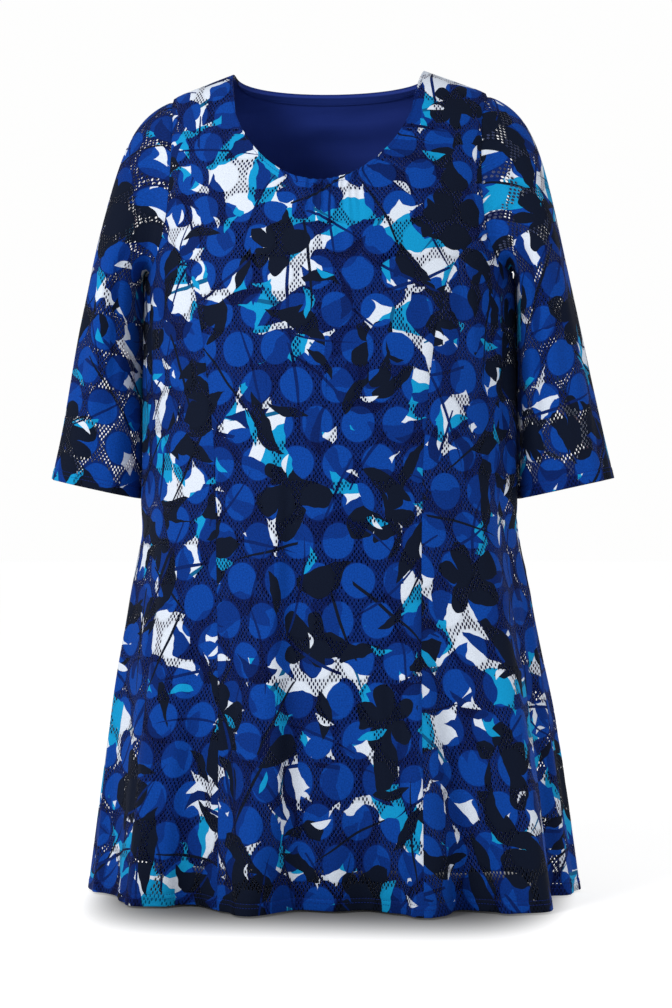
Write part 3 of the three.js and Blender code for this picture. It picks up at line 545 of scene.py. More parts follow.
def cloth_shell(name, points, normals, flat_places, thickness, materials, closed=False, double=None):
    """Thin closed shell of cloth on a grid of points. Its right side has the first material, its
    wrong side the second, and both sides where it is turned in, or double, the third. A closed grid's
    last column repeats its first one, for the coordinates."""
    rows, columns = points.shape[:2]
    used = columns - 1 if closed else columns
    layers = [points[:, :used], (points - normals * thickness)[:, :used]]
    vertices = np.concatenate([layer.reshape(-1, 3) for layer in layers]) * METRE

    def corner(layer, r, c):
        return (layer * rows + r) * used + c % used

    r, c = [a.ravel() for a in np.meshgrid(np.arange(rows - 1), np.arange(columns - 1), indexing="ij")]
    steps = [(0, 0), (0, 1), (1, 1), (1, 0)]
    walls = [[(0, r + a, c + b) for a, b in steps], [(1, r + a, c + b) for a, b in steps[::-1]]]

    def rim(start, end):
        """Faces that close the shell between two rows of corners along an edge."""
        walls.append([(0, *start), (1, *start), (1, *end), (0, *end)])

    side, up = np.arange(columns - 1), np.arange(rows - 1)
    rim((0 * side, side), (0 * side, side + 1))
    rim((0 * side + rows - 1, side + 1), (0 * side + rows - 1, side))
    if not closed:
        rim((up + 1, 0 * up), (up, 0 * up))
        rim((up, 0 * up + columns - 1), (up + 1, 0 * up + columns - 1))
    faces = np.concatenate([np.stack([corner(*spot) for spot in wall], axis=-1) for wall in walls])
    places = np.concatenate([
        np.stack([flat_places[spot[1], spot[2]] for spot in wall], axis=1) for wall in walls
    ])
    mesh = bpy.data.meshes.new(name)
    mesh.vertices.add(len(vertices))
    mesh.vertices.foreach_set("co", vertices.ravel())
    mesh.loops.add(faces.size)
    mesh.loops.foreach_set("vertex_index", faces.ravel())
    mesh.polygons.add(len(faces))
    mesh.polygons.foreach_set("loop_start", np.arange(0, faces.size, 4))
    sides = np.full(len(faces), len(materials) - 1)
    if double is not None:
        sides[:2 * len(r)] = np.repeat([0, 1], len(r))
        sides[:2 * len(r)][np.tile(double.ravel(), 2)] = 2
    for material in materials:
        mesh.materials.append(material)
    mesh.polygons.foreach_set("material_index", sides)
    mesh.update(calc_edges=True)
    layer = mesh.uv_layers.new(name="cloth")
    layer.data.foreach_set("uv", places.reshape(-1, 2).ravel())
    mesh.shade_smooth()
    mesh.set_sharp_from_angle(angle=math.radians(55))
    mesh.validate()
    return add_object(name, mesh)


def face_values(grid):
    """Values of a grid at the middles of its faces."""
    return (grid[1:, 1:] + grid[:-1, 1:] + grid[1:, :-1] + grid[:-1, :-1]) / 4


def grid_normals(points, closed=False):
    """Outward normals of a grid whose rows run down and whose columns run round to the left."""
    if closed:
        body = points[:, :-1]
        across = np.roll(body, -1, axis=1) - np.roll(body, 1, axis=1)
        across = np.concatenate([across, across[:, :1]], axis=1)
    else:
        across = np.gradient(points, axis=1)
    return unit(np.cross(across, np.gradient(points, axis=0)))


# ------------------------------------------------------------------ node graphs

class Graph:
    """Short ways to add nodes to a tree: an input is a socket to link or a plain value."""

    def __init__(self, tree):
        self.tree = tree

    def node(self, kind, inputs=(), **settings):
        node = self.tree.nodes.new(kind)
        for name, value in settings.items():
            setattr(node, name, value)
        for key, value in dict(inputs).items():
            self.feed(node.inputs[key], value)
        return node

    def feed(self, socket, value):
        if isinstance(value, bpy.types.NodeSocket):
            self.tree.links.new(value, socket)
        else:
            socket.default_value = value

    def math(self, operation, *inputs):
        return self.node("ShaderNodeMath", enumerate(inputs), operation=operation).outputs[0]

    def add(self, a, b):
        return self.math("ADD", a, b)

    def less(self, a, b):
        return self.math("SUBTRACT", a, b)

    def times(self, a, b):
        return self.math("MULTIPLY", a, b)

    def over(self, a, b):
        return self.math("DIVIDE", a, b)

    def below(self, a, b):
        return self.math("LESS_THAN", a, b)

    def fraction(self, a):
        return self.math("FRACT", a)

    def centred(self, cells):
        """Place between -0.5 and 0.5 within its cell."""
        return self.less(self.fraction(cells), 0.5)

    def length(self, vector):
        return self.node("ShaderNodeVectorMath", {0: vector}, operation="LENGTH").outputs[1]

    def vector(self, operation, *inputs):
        return self.node("ShaderNodeVectorMath", enumerate(inputs), operation=operation).outputs[0]

    def scaled(self, vector, factor):
        node = self.node("ShaderNodeVectorMath", {0: vector, "Scale": factor}, operation="SCALE")
        return node.outputs[0]

    def join(self, x, y, z=0.0):
        return self.node("ShaderNodeCombineXYZ", {0: x, 1: y, 2: z}).outputs[0]

    def split(self, vector):
        return self.node("ShaderNodeSeparateXYZ", {0: vector}).outputs

    def noise(self, vector, scale, detail=2.0, color=False):
        node = self.node("ShaderNodeTexNoise", {"Vector": vector, "Scale": scale, "Detail": detail},
                         noise_dimensions="2D")
        return node.outputs["Color" if color else 0]

    def wobble(self, vector, scale):
        """Soft noise between -0.5 and 0.5 on each axis."""
        return self.vector("SUBTRACT", self.noise(vector, scale, 1.0, color=True), (0.5, 0.5, 0.5))

    def mix(self, share, low, high):
        node = self.node("ShaderNodeMix", {0: share, 6: low, 7: high}, data_type="RGBA")
        return node.outputs[2]

    def blend(self, share, low, high):
        return self.node("ShaderNodeMix", {0: share, 2: low, 3: high}).outputs[0]

    def fade(self, value, start, end):
        """0 at start and 1 at end, eased."""
        node = self.node("ShaderNodeMapRange", {0: value, 1: start, 2: end},
                         interpolation_type="SMOOTHSTEP")
        return node.outputs[0]

    def surface(self, shader, color, relief, strength, distance):
        """Feed a material's colour and bumps."""
        bump = self.node("ShaderNodeBump", {"Height": relief, "Strength": strength, "Distance": distance})
        self.feed(shader["Base Color"], color)
        self.feed(shader["Normal"], bump.outputs[0])

    def give(self, result, **values):
        """Feed a group's results, and return its tree."""
        for name, value in values.items():
            self.feed(result[name], value)
        return self.tree

    def call(self, group, **inputs):
        node = self.node("ShaderNodeGroup", node_tree=group)
        for name, value in inputs.items():
            self.feed(node.inputs[name], value)
        return node.outputs


def new_group(name, inputs, outputs):
    tree = bpy.data.node_groups.new(name, "ShaderNodeTree")
    for way, sockets in (("INPUT", inputs), ("OUTPUT", outputs)):
        for socket, kind in sockets.items():
            tree.interface.new_socket(name=socket, in_out=way, socket_type="NodeSocket" + kind)
    graph = Graph(tree)
    return graph, graph.node("NodeGroupInput").outputs, graph.node("NodeGroupOutput").inputs


# Knit: pitch of the solid discs across and up, their radius, and pitch and size of the net's holes.
DISC_ACROSS = 0.0435
DISC_UP = 0.0372
DISC_RADIUS = 0.0172
HOLE_ACROSS = 0.0044
HOLE_UP = 0.0059
HOLE_HALF_WIDTH = 0.00088
HOLE_HALF_HEIGHT = 0.00168
# How far the knit is pulled out of line and over what scale, where a disc's edge fades and the net starts
# (in disc radii), how much the holes' sizes differ, how wide the cords round them are, pitch of wales.
KNIT_WOBBLE, KNIT_WOBBLE_SCALE = 0.0045, 22.0
DISC_EDGE, NET_START = (0.96, 1.03), 1.06
HOLE_SIZES, CORD_REACH = (0.65, 1.35), 1.7
WALE_PITCH = 0.00125


def disc_group():
    """Distance from the centre of the nearest solid disc of the knit, over its radius."""
    graph, given, result = new_group("disc_distance", {"Across": "Float", "Up": "Float"},
                                     {"Distance": "Float"})
    level = graph.over(given["Up"], DISC_UP)
    row = graph.math("FLOOR", level)
    shift = graph.fraction(graph.times(row, 0.5))
    column = graph.add(graph.over(given["Across"], DISC_ACROSS), shift)
    x = graph.times(graph.centred(column), DISC_ACROSS)
    y = graph.times(graph.centred(level), DISC_UP)
    away = graph.length(graph.join(x, y))
    return graph.give(result, Distance=graph.over(away, DISC_RADIUS))


def knit_group(discs):
    """The knit's structure: where its discs, its net and the net's holes are."""
    graph, given, result = new_group("knit_structure", {"Vector": "Vector"},
                                     {"Disc": "Float", "Hole": "Float", "Relief": "Float"})
    wobble = graph.scaled(graph.wobble(given["Vector"], KNIT_WOBBLE_SCALE), KNIT_WOBBLE)
    place = graph.vector("ADD", given["Vector"], wobble)
    across, up, _ = graph.split(place)
    distance = graph.call(discs, Across=across, Up=up)[0]
    disc = graph.less(1.0, graph.fade(distance, *DISC_EDGE))
    size = graph.blend(graph.noise(given["Vector"], 60.0, 1.0), *HOLE_SIZES)
    nearest = None
    for lattice in (0.0, 0.5):
        x = graph.centred(graph.add(graph.over(across, HOLE_ACROSS), lattice))
        y = graph.centred(graph.add(graph.over(up, HOLE_UP), lattice))
        middle_x = graph.less(across, graph.times(x, HOLE_ACROSS))
        middle_y = graph.less(up, graph.times(y, HOLE_UP))
        in_net = graph.call(discs, Across=middle_x, Up=middle_y)[0]
        shape = graph.join(graph.times(x, HOLE_ACROSS / HOLE_HALF_WIDTH),
                           graph.times(y, HOLE_UP / HOLE_HALF_HEIGHT))
        away = graph.length(shape)
        on_disc = graph.times(graph.below(in_net, NET_START), 4.0)
        away = graph.add(graph.over(away, size), on_disc)
        nearest = away if nearest is None else graph.math("MINIMUM", nearest, away)
    hole = graph.below(nearest, 1.0)
    cord = graph.fade(nearest, 1.0, CORD_REACH)
    wales = graph.math("SINE", graph.times(across, 2 * math.pi / WALE_PITCH))
    grain = graph.noise(graph.vector("MULTIPLY", place, (1.0, 0.6, 1.0)), 900.0, 2.0)
    fine = graph.add(graph.times(wales, 0.10), graph.times(grain, 0.5))
    raised = graph.times(graph.fade(distance, 1.12, 0.90), 1.1)
    relief = graph.add(graph.add(raised, graph.times(cord, 0.5)), fine)
    return graph.give(result, Disc=disc, Hole=hole, Relief=relief)


def scatter(graph, given):
    """Turned local coordinates of the nearest scattered spot, and its random numbers."""
    moved = graph.vector("ADD", given["Vector"], given["Shift"])
    cells = graph.node("ShaderNodeTexVoronoi", {
        "Vector": moved,
        "Scale": graph.over(1.0, given["Cell"]),
        "Randomness": 0.8,
    }, voronoi_dimensions="2D")
    local = graph.vector("SUBTRACT", moved, cells.outputs["Position"])
    random = graph.split(cells.outputs["Color"])
    angle = graph.times(random[0], 2 * math.pi)
    turned = graph.node("ShaderNodeVectorRotate", {"Vector": local, "Angle": angle},
                        rotation_type="Z_AXIS")
    shown = graph.below(random[2], given["Share"])
    size = graph.blend(random[1], 0.75, 1.25)
    return turned.outputs[0], shown, size


def leaf_group():
    """Scattered pointed leaves; long thin ones are stems."""
    inputs = {"Vector": "Vector", "Shift": "Vector", "Cell": "Float", "Length": "Float",
              "Width": "Float", "Bend": "Float", "Share": "Float"}
    graph, given, result = new_group("scattered_leaves", inputs, {"Cover": "Float"})
    turned, shown, size = scatter(graph, given)
    x, y, _ = graph.split(turned)
    x = graph.over(x, graph.times(given["Length"], size))
    square = graph.times(x, x)
    y = graph.add(y, graph.times(square, given["Bend"]))
    y = graph.math("ABSOLUTE", graph.over(y, graph.times(given["Width"], size)))
    inside = graph.below(graph.add(square, y), 1.0)
    return graph.give(result, Cover=graph.times(inside, shown))


def flower_group():
    """Scattered flat flowers with uneven petals."""
    inputs = {"Vector": "Vector", "Shift": "Vector", "Cell": "Float", "Radius": "Float",
              "Petals": "Float", "Depth": "Float", "Share": "Float"}
    graph, given, result = new_group("scattered_flowers", inputs, {"Cover": "Float"})
    turned, shown, size = scatter(graph, given)
    x, y, _ = graph.split(turned)
    away = graph.length(turned)
    away = graph.over(away, graph.times(given["Radius"], size))
    angle = graph.math("ARCTAN2", y, x)
    half = graph.times(angle, graph.times(given["Petals"], 0.5))
    lobe = graph.math("POWER", graph.math("ABSOLUTE", graph.math("COSINE", half)), 0.7)
    longer = graph.times(graph.math("SINE", angle), 0.22)
    edge = graph.add(graph.less(1.0, given["Depth"]), longer)
    edge = graph.add(edge, graph.times(lobe, given["Depth"]))
    inside = graph.below(away, edge)
    return graph.give(result, Cover=graph.times(inside, shown))


WHITE = (0.55, 0.60, 0.68, 1)
WRONG_WHITE = (0.34, 0.37, 0.46, 1)
CYAN = (0.004, 0.235, 0.47, 1)
TEAL = (0.003, 0.085, 0.20, 1)
ROYAL = (0.0022, 0.041, 0.250, 1)
DEEP = (0.0018, 0.024, 0.165, 1)
NAVY = (0.0016, 0.013, 0.095, 1)
BLACK = (0.0034, 0.0062, 0.0165, 1)
# How much darker blue print is on the net than on the discs, by red, green and blue, and other print.
NET_SHADE = (0.9, 0.36, 0.44)
PLAIN_NET_SHADE = 0.88
# Share of the pale ground that shows on the wrong side, on the net and on the discs.
WRONG_NET_PALE, WRONG_DISC_PALE = 0.34, 0.30
# Heather: how uneven the colour is on the wrong side, and on other and blue print of the right side.
WRONG_HEATHER, HEATHER = 0.15, (0.16, 0.5)
# A hole over a second layer of cloth is not cut but painted this dark: painted shade standing in for the
# shaded cloth behind it.
PAINTED_HOLE_SHADE = 0.3


LEAF_INPUTS = ("Length", "Width", "Bend", "Share")
FLOWER_INPUTS = ("Radius", "Petals", "Depth", "Share")
STEM_WIDTH = 0.003
# How far the shapes are pulled out of line over broad and fine scales, and how far the stems are.
BROAD_WOBBLE, FINE_WOBBLE, STEM_WOBBLE = 0.022, 0.006, 0.007
# Layers of the print on its white ground, each over the one before: paint, shift of its scatter, size of
# its cells, then length, width, bend and share of leaves, or radius, petals, depth and share of flowers.
PRINT_LAYERS = [
    (CYAN, (3.1, 1.7), 0.080, LEAF_INPUTS, (0.046, 0.020, 0.004, 0.85)),
    (TEAL, (5.3, 2.9), 0.100, LEAF_INPUTS, (0.060, 0.0022, 0.006, 0.9)),
    (ROYAL, (1.3, 4.1), 0.080, FLOWER_INPUTS, (0.043, 5.0, 0.42, 0.86)),
    (ROYAL, (7.7, 0.6), 0.070, LEAF_INPUTS, (0.044, 0.016, 0.006, 0.76)),
    (ROYAL, (2.7, 6.2), 0.130, FLOWER_INPUTS, (0.064, 6.0, 0.40, 0.55)),
    (DEEP, (2.2, 8.4), 0.074, LEAF_INPUTS, (0.044, 0.013, 0.014, 0.72)),
    (DEEP, (8.8, 1.9), 0.062, LEAF_INPUTS, (0.034, 0.010, 0.008, 0.6)),
    (NAVY, (9.1, 5.2), 0.080, LEAF_INPUTS, (0.060, 0.0017, 0.008, 0.7)),
    (NAVY, (6.1, 2.2), 0.060, LEAF_INPUTS, (0.026, 0.007, 0.008, 0.5)),
    (BLACK, (6.4, 3.3), 0.092, FLOWER_INPUTS, (0.035, 5.0, 0.60, 0.46)),
    (BLACK, (4.8, 6.9), 0.082, LEAF_INPUTS, (0.040, 0.012, 0.010, 0.5)),
    (BLACK, (0.9, 3.8), 0.060, LEAF_INPUTS, (0.024, 0.006, 0.005, 0.35)),
    (ROYAL, (8.2, 7.5), 0.066, LEAF_INPUTS, (0.030, 0.011, 0.006, 0.5)),
    (CYAN, (5.9, 9.3), 0.060, LEAF_INPUTS, (0.014, 0.0045, 0.004, 0.26)),
    (WHITE, (7.1, 5.8), 0.052, LEAF_INPUTS, (0.010, 0.0028, 0.003, 0.26)),
    (BLACK, (0.4, 9.6), 0.085, LEAF_INPUTS, (0.060, 0.0014, 0.006, 0.4)),
    (NAVY, (3.7, 0.9), 0.090, LEAF_INPUTS, (0.060, 0.0014, 0.008, 0.55)),
]


def print_group(leaves, flowers):
    """Generic print of overlapping flowers, leaves and stems: its colour, and where it is blue."""
    graph, given, result = new_group("flower_print", {"Vector": "Vector"},
                                     {"Color": "Color", "Blue": "Float"})
    source = given["Vector"]
    broad = graph.wobble(source, 17.0)
    uneven = graph.vector("ADD", source, graph.scaled(broad, BROAD_WOBBLE))
    uneven = graph.vector("ADD", uneven, graph.scaled(graph.wobble(source, 62.0), FINE_WOBBLE))
    calm = graph.vector("ADD", source, graph.scaled(broad, STEM_WOBBLE))
    color, blue = WHITE, 0.0
    for paint, shift, cell, names, values in PRINT_LAYERS:
        inputs = dict(zip(names, values))
        is_thin = inputs.get("Width", 1.0) < STEM_WIDTH
        cover = graph.call(leaves if names is LEAF_INPUTS else flowers, Vector=calm if is_thin else uneven,
                           Shift=(*shift, 0), Cell=cell, **inputs)[0]
        color = graph.mix(cover, color, paint)
        blue = graph.blend(cover, blue, float(paint in (ROYAL, DEEP, NAVY)))
    return graph.give(result, Color=color, Blue=blue)


def new_material(name):
    material = bpy.data.materials.new(name)
    material.use_nodes = True
    graph = Graph(material.node_tree)
    return material, graph, material.node_tree.nodes["Principled BSDF"].inputs


def set_cloth(shader, roughness, sheen):
    shader["Roughness"].default_value = roughness
    shader["Sheen Weight"].default_value = sheen
    shader["Sheen Roughness"].default_value = 0.5
    shader["Specular IOR Level"].default_value = 0.04


def printed_materials():
    """Right side and wrong side of the printed knit, and its right side where the cloth is double, with
    painted shade in its holes there.
    """
    leaves, flowers = leaf_group(), flower_group()
    knit, printed = knit_group(disc_group()), print_group(leaves, flowers)
    made = []
    for name in ("printed_knit_right_side", "printed_knit_wrong_side", "printed_knit_double"):
        material, graph, shader = new_material(name)
        place = graph.node("ShaderNodeUVMap", uv_map="cloth").outputs[0]
        disc, hole, relief = graph.call(knit, Vector=place)
        color, blue = graph.call(printed, Vector=place)
        shaded = graph.vector("MULTIPLY", color, NET_SHADE)
        if name == "printed_knit_wrong_side":
            net = graph.mix(WRONG_NET_PALE, shaded, WRONG_WHITE)
            shown = graph.mix(disc, net, graph.mix(WRONG_DISC_PALE, color, WRONG_WHITE))
            uneven = WRONG_HEATHER
        else:
            net = graph.mix(blue, graph.scaled(color, PLAIN_NET_SHADE), shaded)
            shown = graph.mix(disc, net, color)
            uneven = graph.blend(blue, *HEATHER)
        # Painted shade: where the cloth is double, its holes are darkened instead of cut.
        if name == "printed_knit_double":
            shown = graph.scaled(shown, graph.blend(hole, 1.0, PAINTED_HOLE_SHADE))
        else:
            graph.feed(shader["Alpha"], graph.less(1.0, hole))
        grain = graph.less(graph.times(graph.noise(place, 620.0, 3.0), 2.0), 1.0)
        heather = graph.add(1.0, graph.times(grain, uneven))
        graph.surface(shader, graph.scaled(shown, heather), relief, 0.55, 0.0005)
        set_cloth(shader, 0.7, 0.01)
        made.append(material)
    return made


def plain_knit(name, color, roughness, wale, speckle=0.12):
    """Fine plain knit: narrow ribs, soft speckle."""
    material, graph, shader = new_material(name)
    place = graph.node("ShaderNodeUVMap", uv_map="cloth").outputs[0]
    across, up, _ = graph.split(place)
    ribs = graph.math("SINE", graph.times(across, 2 * math.pi / wale))
    rows = graph.math("SINE", graph.times(up, 2 * math.pi / (wale * 0.8)))
    grain = graph.noise(place, 800.0, 3.0)
    shade = graph.blend(grain, 1 - speckle, 1 + speckle)
    shade = graph.times(shade, graph.blend(graph.noise(place, 14.0, 2.0), 0.93, 1.07))
    relief = graph.add(graph.times(ribs, 0.3), graph.times(rows, 0.15))
    relief = graph.add(relief, graph.times(grain, 0.8))
    graph.surface(shader, graph.scaled(color[:3], shade), relief, 0.4, 0.0003)
    set_cloth(shader, roughness, 0.01)
    return material


def thread_material():
    material, graph, shader = new_material("navy_thread")
    place = graph.node("ShaderNodeTexCoord").outputs["Object"]
    shade = graph.blend(graph.noise(place, 2500.0, 2.0), 0.75, 1.25)
    graph.feed(shader["Base Color"], graph.scaled((0.006, 0.02, 0.16), shade))
    set_cloth(shader, 0.6, 0.02)
    return material


# ------------------------------------------------------------------ the panels

PRINTED_KNIT = printed_materials()
LINING = plain_knit("lining_knit", (0.0145, 0.0320, 0.200), 0.62, 0.0011)
TAPE = plain_knit("neck_tape_knit", (0.0145, 0.0320, 0.190), 0.6, 0.0009)
THREAD = thread_material()


def finish_piece(piece, nodes=()):
    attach(piece, "root")
    if nodes:
        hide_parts(*nodes)


body_grids = []


def panel(name, places, middle, seams, band, shift):
    """Body panel. seams says which of its left, right, bottom and top edges are sewn."""
    turn, drop = places
    plain = body_point(turn, drop)
    normals = body_normal(turn, drop)
    left, right, bottom, top = lengths_from_edges(plain)
    relief = creases(turn, drop)
    if name == "front_center_panel":
        relief = relief + pleats(body_point(turn, drop, True), turn, drop)
    for seam, distance, seed in (("left", left, 3), ("right", right, 3), ("top", top, 5)):
        if seam in seams:
            relief = relief + seam_dip(distance, drop, seed)
    relief = relief + turned_band(bottom, HEM_TURN)
    if band is not None:
        relief = relief + turned_band(top, NECK_TURN, 0.5) * band
    points = plain + normals * relief[..., None]
    flat_places = cloth_coordinates(turn, drop, middle) + np.array(shift)
    if name == "front_center_panel":
        # Gathered cloth is wider than the place it lies on.
        gathered = lengths_from_edges(points)[0] - left
        flat_places[..., 0] += (gathered - gathered[:, -1:] / 2) * METRE
    double = face_values(bottom) < HEM_TURN
    if band is not None:
        double = double | (face_values(top + 20 * (1 - band)) < NECK_TURN)
    piece = cloth_shell(name + "_cloth", points, normals, flat_places, CLOTH, PRINTED_KNIT, double=double)
    finish_piece(piece, [name])
    body_grids.append((points, normals))
    return points, normals


def hem_edge(from_turn, to_turn, columns, drop=LENGTH):
    turn = np.linspace(from_turn, to_turn, columns + 1)
    return turn, np.full_like(turn, drop)


def on_neckline(edge):
    """1 where the columns of a panel end at the neckline, 0 where they end at a shoulder."""
    reach = np.abs(body_point(*edge)[:, 0])
    return ease((NECK_HALF_WIDTH + 3 - reach) / 3)[None, :]


# Front centre.
front_left_edge = join(princess_seam, front_armhole)
top_edge = front_top()
hem_turn = princess_seam[0][0]
front_places = fill_grid(to_right(front_left_edge), front_left_edge,
                         hem_edge(-hem_turn, hem_turn, len(top_edge[0]) - 1), top_edge)
front_grid = panel("front_center_panel", front_places, 0.0, ("left", "right"), on_neckline(top_edge),
                   (4.980, 2.170))

# Front sides.
for side, name, shift, cut in ((1, "left", (1.871, 1.117), {"flat": (0.312, 0.665), "area": 0.130}),
                               (-1, "right", (3.304, 2.451), {"flat": (0.258, 0.665), "area": 0.122})):
    rise = (LENGTH - princess_seam[1]) / (LENGTH - PRINCESS_TOP_DROP)
    outer = (np.full_like(rise, 90.0), LENGTH - rise * (LENGTH - UNDERARM_DROP))
    turn, drop = fill_grid(princess_seam, outer, hem_edge(hem_turn, 90.0, UNDERARM_COLUMNS),
                           backwards(underarm))
    if side < 0:
        turn, drop = -turn[:, ::-1], drop[:, ::-1]
    panel(f"front_side_panel_{name}", (turn, drop), 62.0 * side, ("left", "right", "top"), None,
          shift)

# Back.
back_edge = join(side_seam(LENGTH, UNDERARM_DROP), back_armhole)
back_right_edge = (360 - back_edge[0], back_edge[1])
back_top = backwards(to_back(even_top((NECK_HALF_WIDTH, 0.0, NECK_BACK_DROP), SHOULDER_DROP,
                                      BACK_SHOULDER_COLUMNS, BACK_NECK_COLUMNS)))
back_places = fill_grid(back_edge, back_right_edge, hem_edge(90.0, 270.0, len(back_top[0]) - 1), back_top)
back_grid = panel("back_panel", back_places, 180.0, ("left", "right"), on_neckline(back_top),
                  (5.207, 3.009))

# ------------------------------------------------------------------ sleeves

HEAD_RINGS = 34
HEAD_SHARE = 0.34
HEAD_CLOSENESS = 1.15
ARM_ROWS = 44
ARM_LENGTH = 236.0
SLEEVE_STRETCH = 1.12
CUFF_TURN = 13.0
# The swell of the sleeves: height, place round the arm, width in degrees, and where along the sleeve it
# starts, over what share it rises, and where and over what share it grows to its full height.
ARM_SWELL = 5.8
ARM_SWELL_PLACE, ARM_SWELL_WIDTH = 195, 14
ARM_SWELL_START, ARM_SWELL_RISE = 0.18, 0.12
ARM_SWELL_GROWS_FROM, ARM_SWELL_GROWTH = 0.36, 0.24
# Share of the sleeve over which a crease fades in and out.
SLEEVE_FADE = 0.2
# Soft creases of the sleeves: place round the arm, slant in degrees over the sleeve, where they start
# and end along it (0 is the armhole, 1 the cuff), width in degrees, height.
SLEEVE_CREASES = {
    1: [(118, 10, 0.16, 0.95, 9, -3.2), (92, -6, 0.22, 0.80, 8, 2.4), (70, 4, 0.30, 1.0, 9, -2.6),
        (48, -4, 0.12, 0.60, 8, 1.6), (138, 14, 0.10, 0.50, 7, 1.8), (30, 6, 0.45, 1.0, 8, -2.0),
        (215, -8, 0.18, 0.90, 9, -3.0), (250, 6, 0.22, 0.85, 9, 2.4), (282, -4, 0.15, 0.75, 8, -2.4),
        (310, 4, 0.40, 1.0, 9, 2.0), (335, 0, 0.50, 1.0, 8, -1.8)],
    -1: [(112, 12, 0.14, 0.90, 9, -3.0), (86, -4, 0.25, 0.95, 8, 2.6), (62, 6, 0.18, 0.85, 9, -2.8),
         (40, -6, 0.32, 1.0, 8, 1.8), (132, 10, 0.12, 0.45, 7, 1.6), (22, 4, 0.55, 1.0, 8, -2.0),
         (208, -6, 0.15, 0.80, 9, -2.8), (242, 8, 0.28, 0.95, 9, 2.2), (276, -6, 0.18, 0.70, 8, -2.6),
         (304, 4, 0.36, 1.0, 9, 2.2), (330, 0, 0.45, 1.0, 8, -1.8)],
}


def armhole_loop():
    """Points and normals down the front of the left armhole and up its back, and the way out."""
    parts = [backwards(front_armhole), backwards(underarm), back_armhole]
    turn, drop = join(*parts)
    turn, drop = turn[:-1], drop[:-1]
    points = body_point(turn, drop)
    normals = body_normal(turn, drop)
    before = np.cross(normals, points - np.roll(points, 1, axis=0))
    after = np.cross(normals, np.roll(points, -1, axis=0) - points)
    return points, normals, unit(unit(before) + unit(after))


def sleeve_point(way, place):
    """Point of a sleeve section: way 0 is the upper arm, 1 the cuff; place is degrees round it."""
    table = np.column_stack([np.linspace(0, 1, len(SLEEVE_RINGS)), SLEEVE_RINGS])
    in_drop, in_reach, out_drop, out_reach, half_depth, middle = [
        read_table(table, column, way) for column in range(1, 7)
    ]
    inner = np.stack([in_reach, middle, -in_drop], axis=-1)
    outer = np.stack([out_reach, middle, -out_drop], axis=-1)
    across = (outer - inner) / 2
    out_share = signed_power(np.cos(rad(place)), 2 / SLEEVE_ROUNDNESS)
    back_share = signed_power(-np.sin(rad(place)), 2 / SLEEVE_ROUNDNESS)
    folded = sum(out * np.exp(-((place - at) / width) ** 2) * ease((way - start) / 0.3)
                 for at, width, out, start in SLEEVE_FOLDS)
    point = inner + across * (1 + out_share[..., None])
    point[..., 1] += (half_depth + folded * np.abs(back_share)) * back_share
    return point


def round_arm(place, shoulder, chest, underarm_value):
    cosine = np.cos(rad(place))
    return mix(chest, np.where(cosine > 0, shoulder, underarm_value), cosine ** 2)


def sleeve_grid():
    """The left sleeve from the armhole down: points, normals, places of its columns round the arm, ways
    of its arm rows to the cuff, and the column at the foot of the armhole."""
    start, start_normals, out = armhole_loop()
    count = len(start)
    steps = np.linalg.norm(np.roll(start, -1, axis=0) - start, axis=-1)
    lowest = int(np.argmin(start[:, 2]))
    reached = np.concatenate([[0], np.cumsum(steps)])
    place = np.where(np.arange(count + 1) <= lowest, 180 * reached / reached[lowest],
                     180 + 180 * (reached - reached[lowest]) / (reached[-1] - reached[lowest]))
    loop, loop_out, loop_normals = [
        np.concatenate([values, values[:1]]) for values in (start, out, start_normals)
    ]
    foot = sleeve_point(np.zeros_like(place), place)
    up = unit(foot - sleeve_point(np.full_like(place, 1 / 8), place))
    run = round_arm(place, SHOULDER_RUN, CHEST_RUN, UNDERARM_RUN)[:, None]
    fall = round_arm(place, SHOULDER_FALL, CHEST_FALL, UNDERARM_FALL)[:, None]
    slope = math.radians(SHOULDER_SLOPE)
    along = np.array([math.cos(slope), 0, -math.sin(slope)])
    ahead = unit(mix(loop_out, along, round_arm(place, 1, 0, 0)[:, None]))
    t = (np.linspace(0, 1, HEAD_RINGS + 1) ** HEAD_CLOSENESS)[:, None, None]
    head = ((1 - t) ** 3 * loop + 3 * (1 - t) ** 2 * t * (loop + ahead * run)
            + 3 * (1 - t) * t ** 2 * (foot + up * fall) + t ** 3 * foot)
    from_end = np.concatenate([np.linspace(HEM_ROWS[-1], ARM_LENGTH, ARM_ROWS)[::-1], HEM_ROWS[:-1][::-1]])
    ways = 1 - from_end / ARM_LENGTH
    arm = sleeve_point(*np.broadcast_arrays(ways[1:, None], place))
    points = np.concatenate([head, arm])
    normals = grid_normals(points, closed=True)
    normals[0] = loop_normals
    return points, normals, place, ways, lowest


def sleeve_relief(side, place, ways):
    """Creases of a sleeve, and its swell beside the body."""
    head_share = np.linspace(0, HEAD_SHARE, HEAD_RINGS + 1)
    share = np.concatenate([head_share, HEAD_SHARE + (1 - HEAD_SHARE) * ways[1:]])[:, None]
    relief = np.zeros((len(share), len(place)))
    for row, (at, slant, first, last, width, height) in enumerate(SLEEVE_CREASES[side]):
        line = at + slant * (share - 0.5) + 3 * smooth_noise(share * 480, 110, 60 + row + 20 * side)
        ends = ease((share - first) / SLEEVE_FADE)
        if last < 1:
            ends = ends * ease((last - share) / SLEEVE_FADE)
        relief += height * ends * ridge(turn_away(place[None, :], line), width)
    grown = ease((share - ARM_SWELL_GROWS_FROM) / ARM_SWELL_GROWTH)
    beside_body = ease((share - ARM_SWELL_START) / ARM_SWELL_RISE) * mix(SWELL_LEAST, 1, grown)
    return relief + ARM_SWELL * beside_body * ridge(place[None, :] - ARM_SWELL_PLACE, ARM_SWELL_WIDTH)


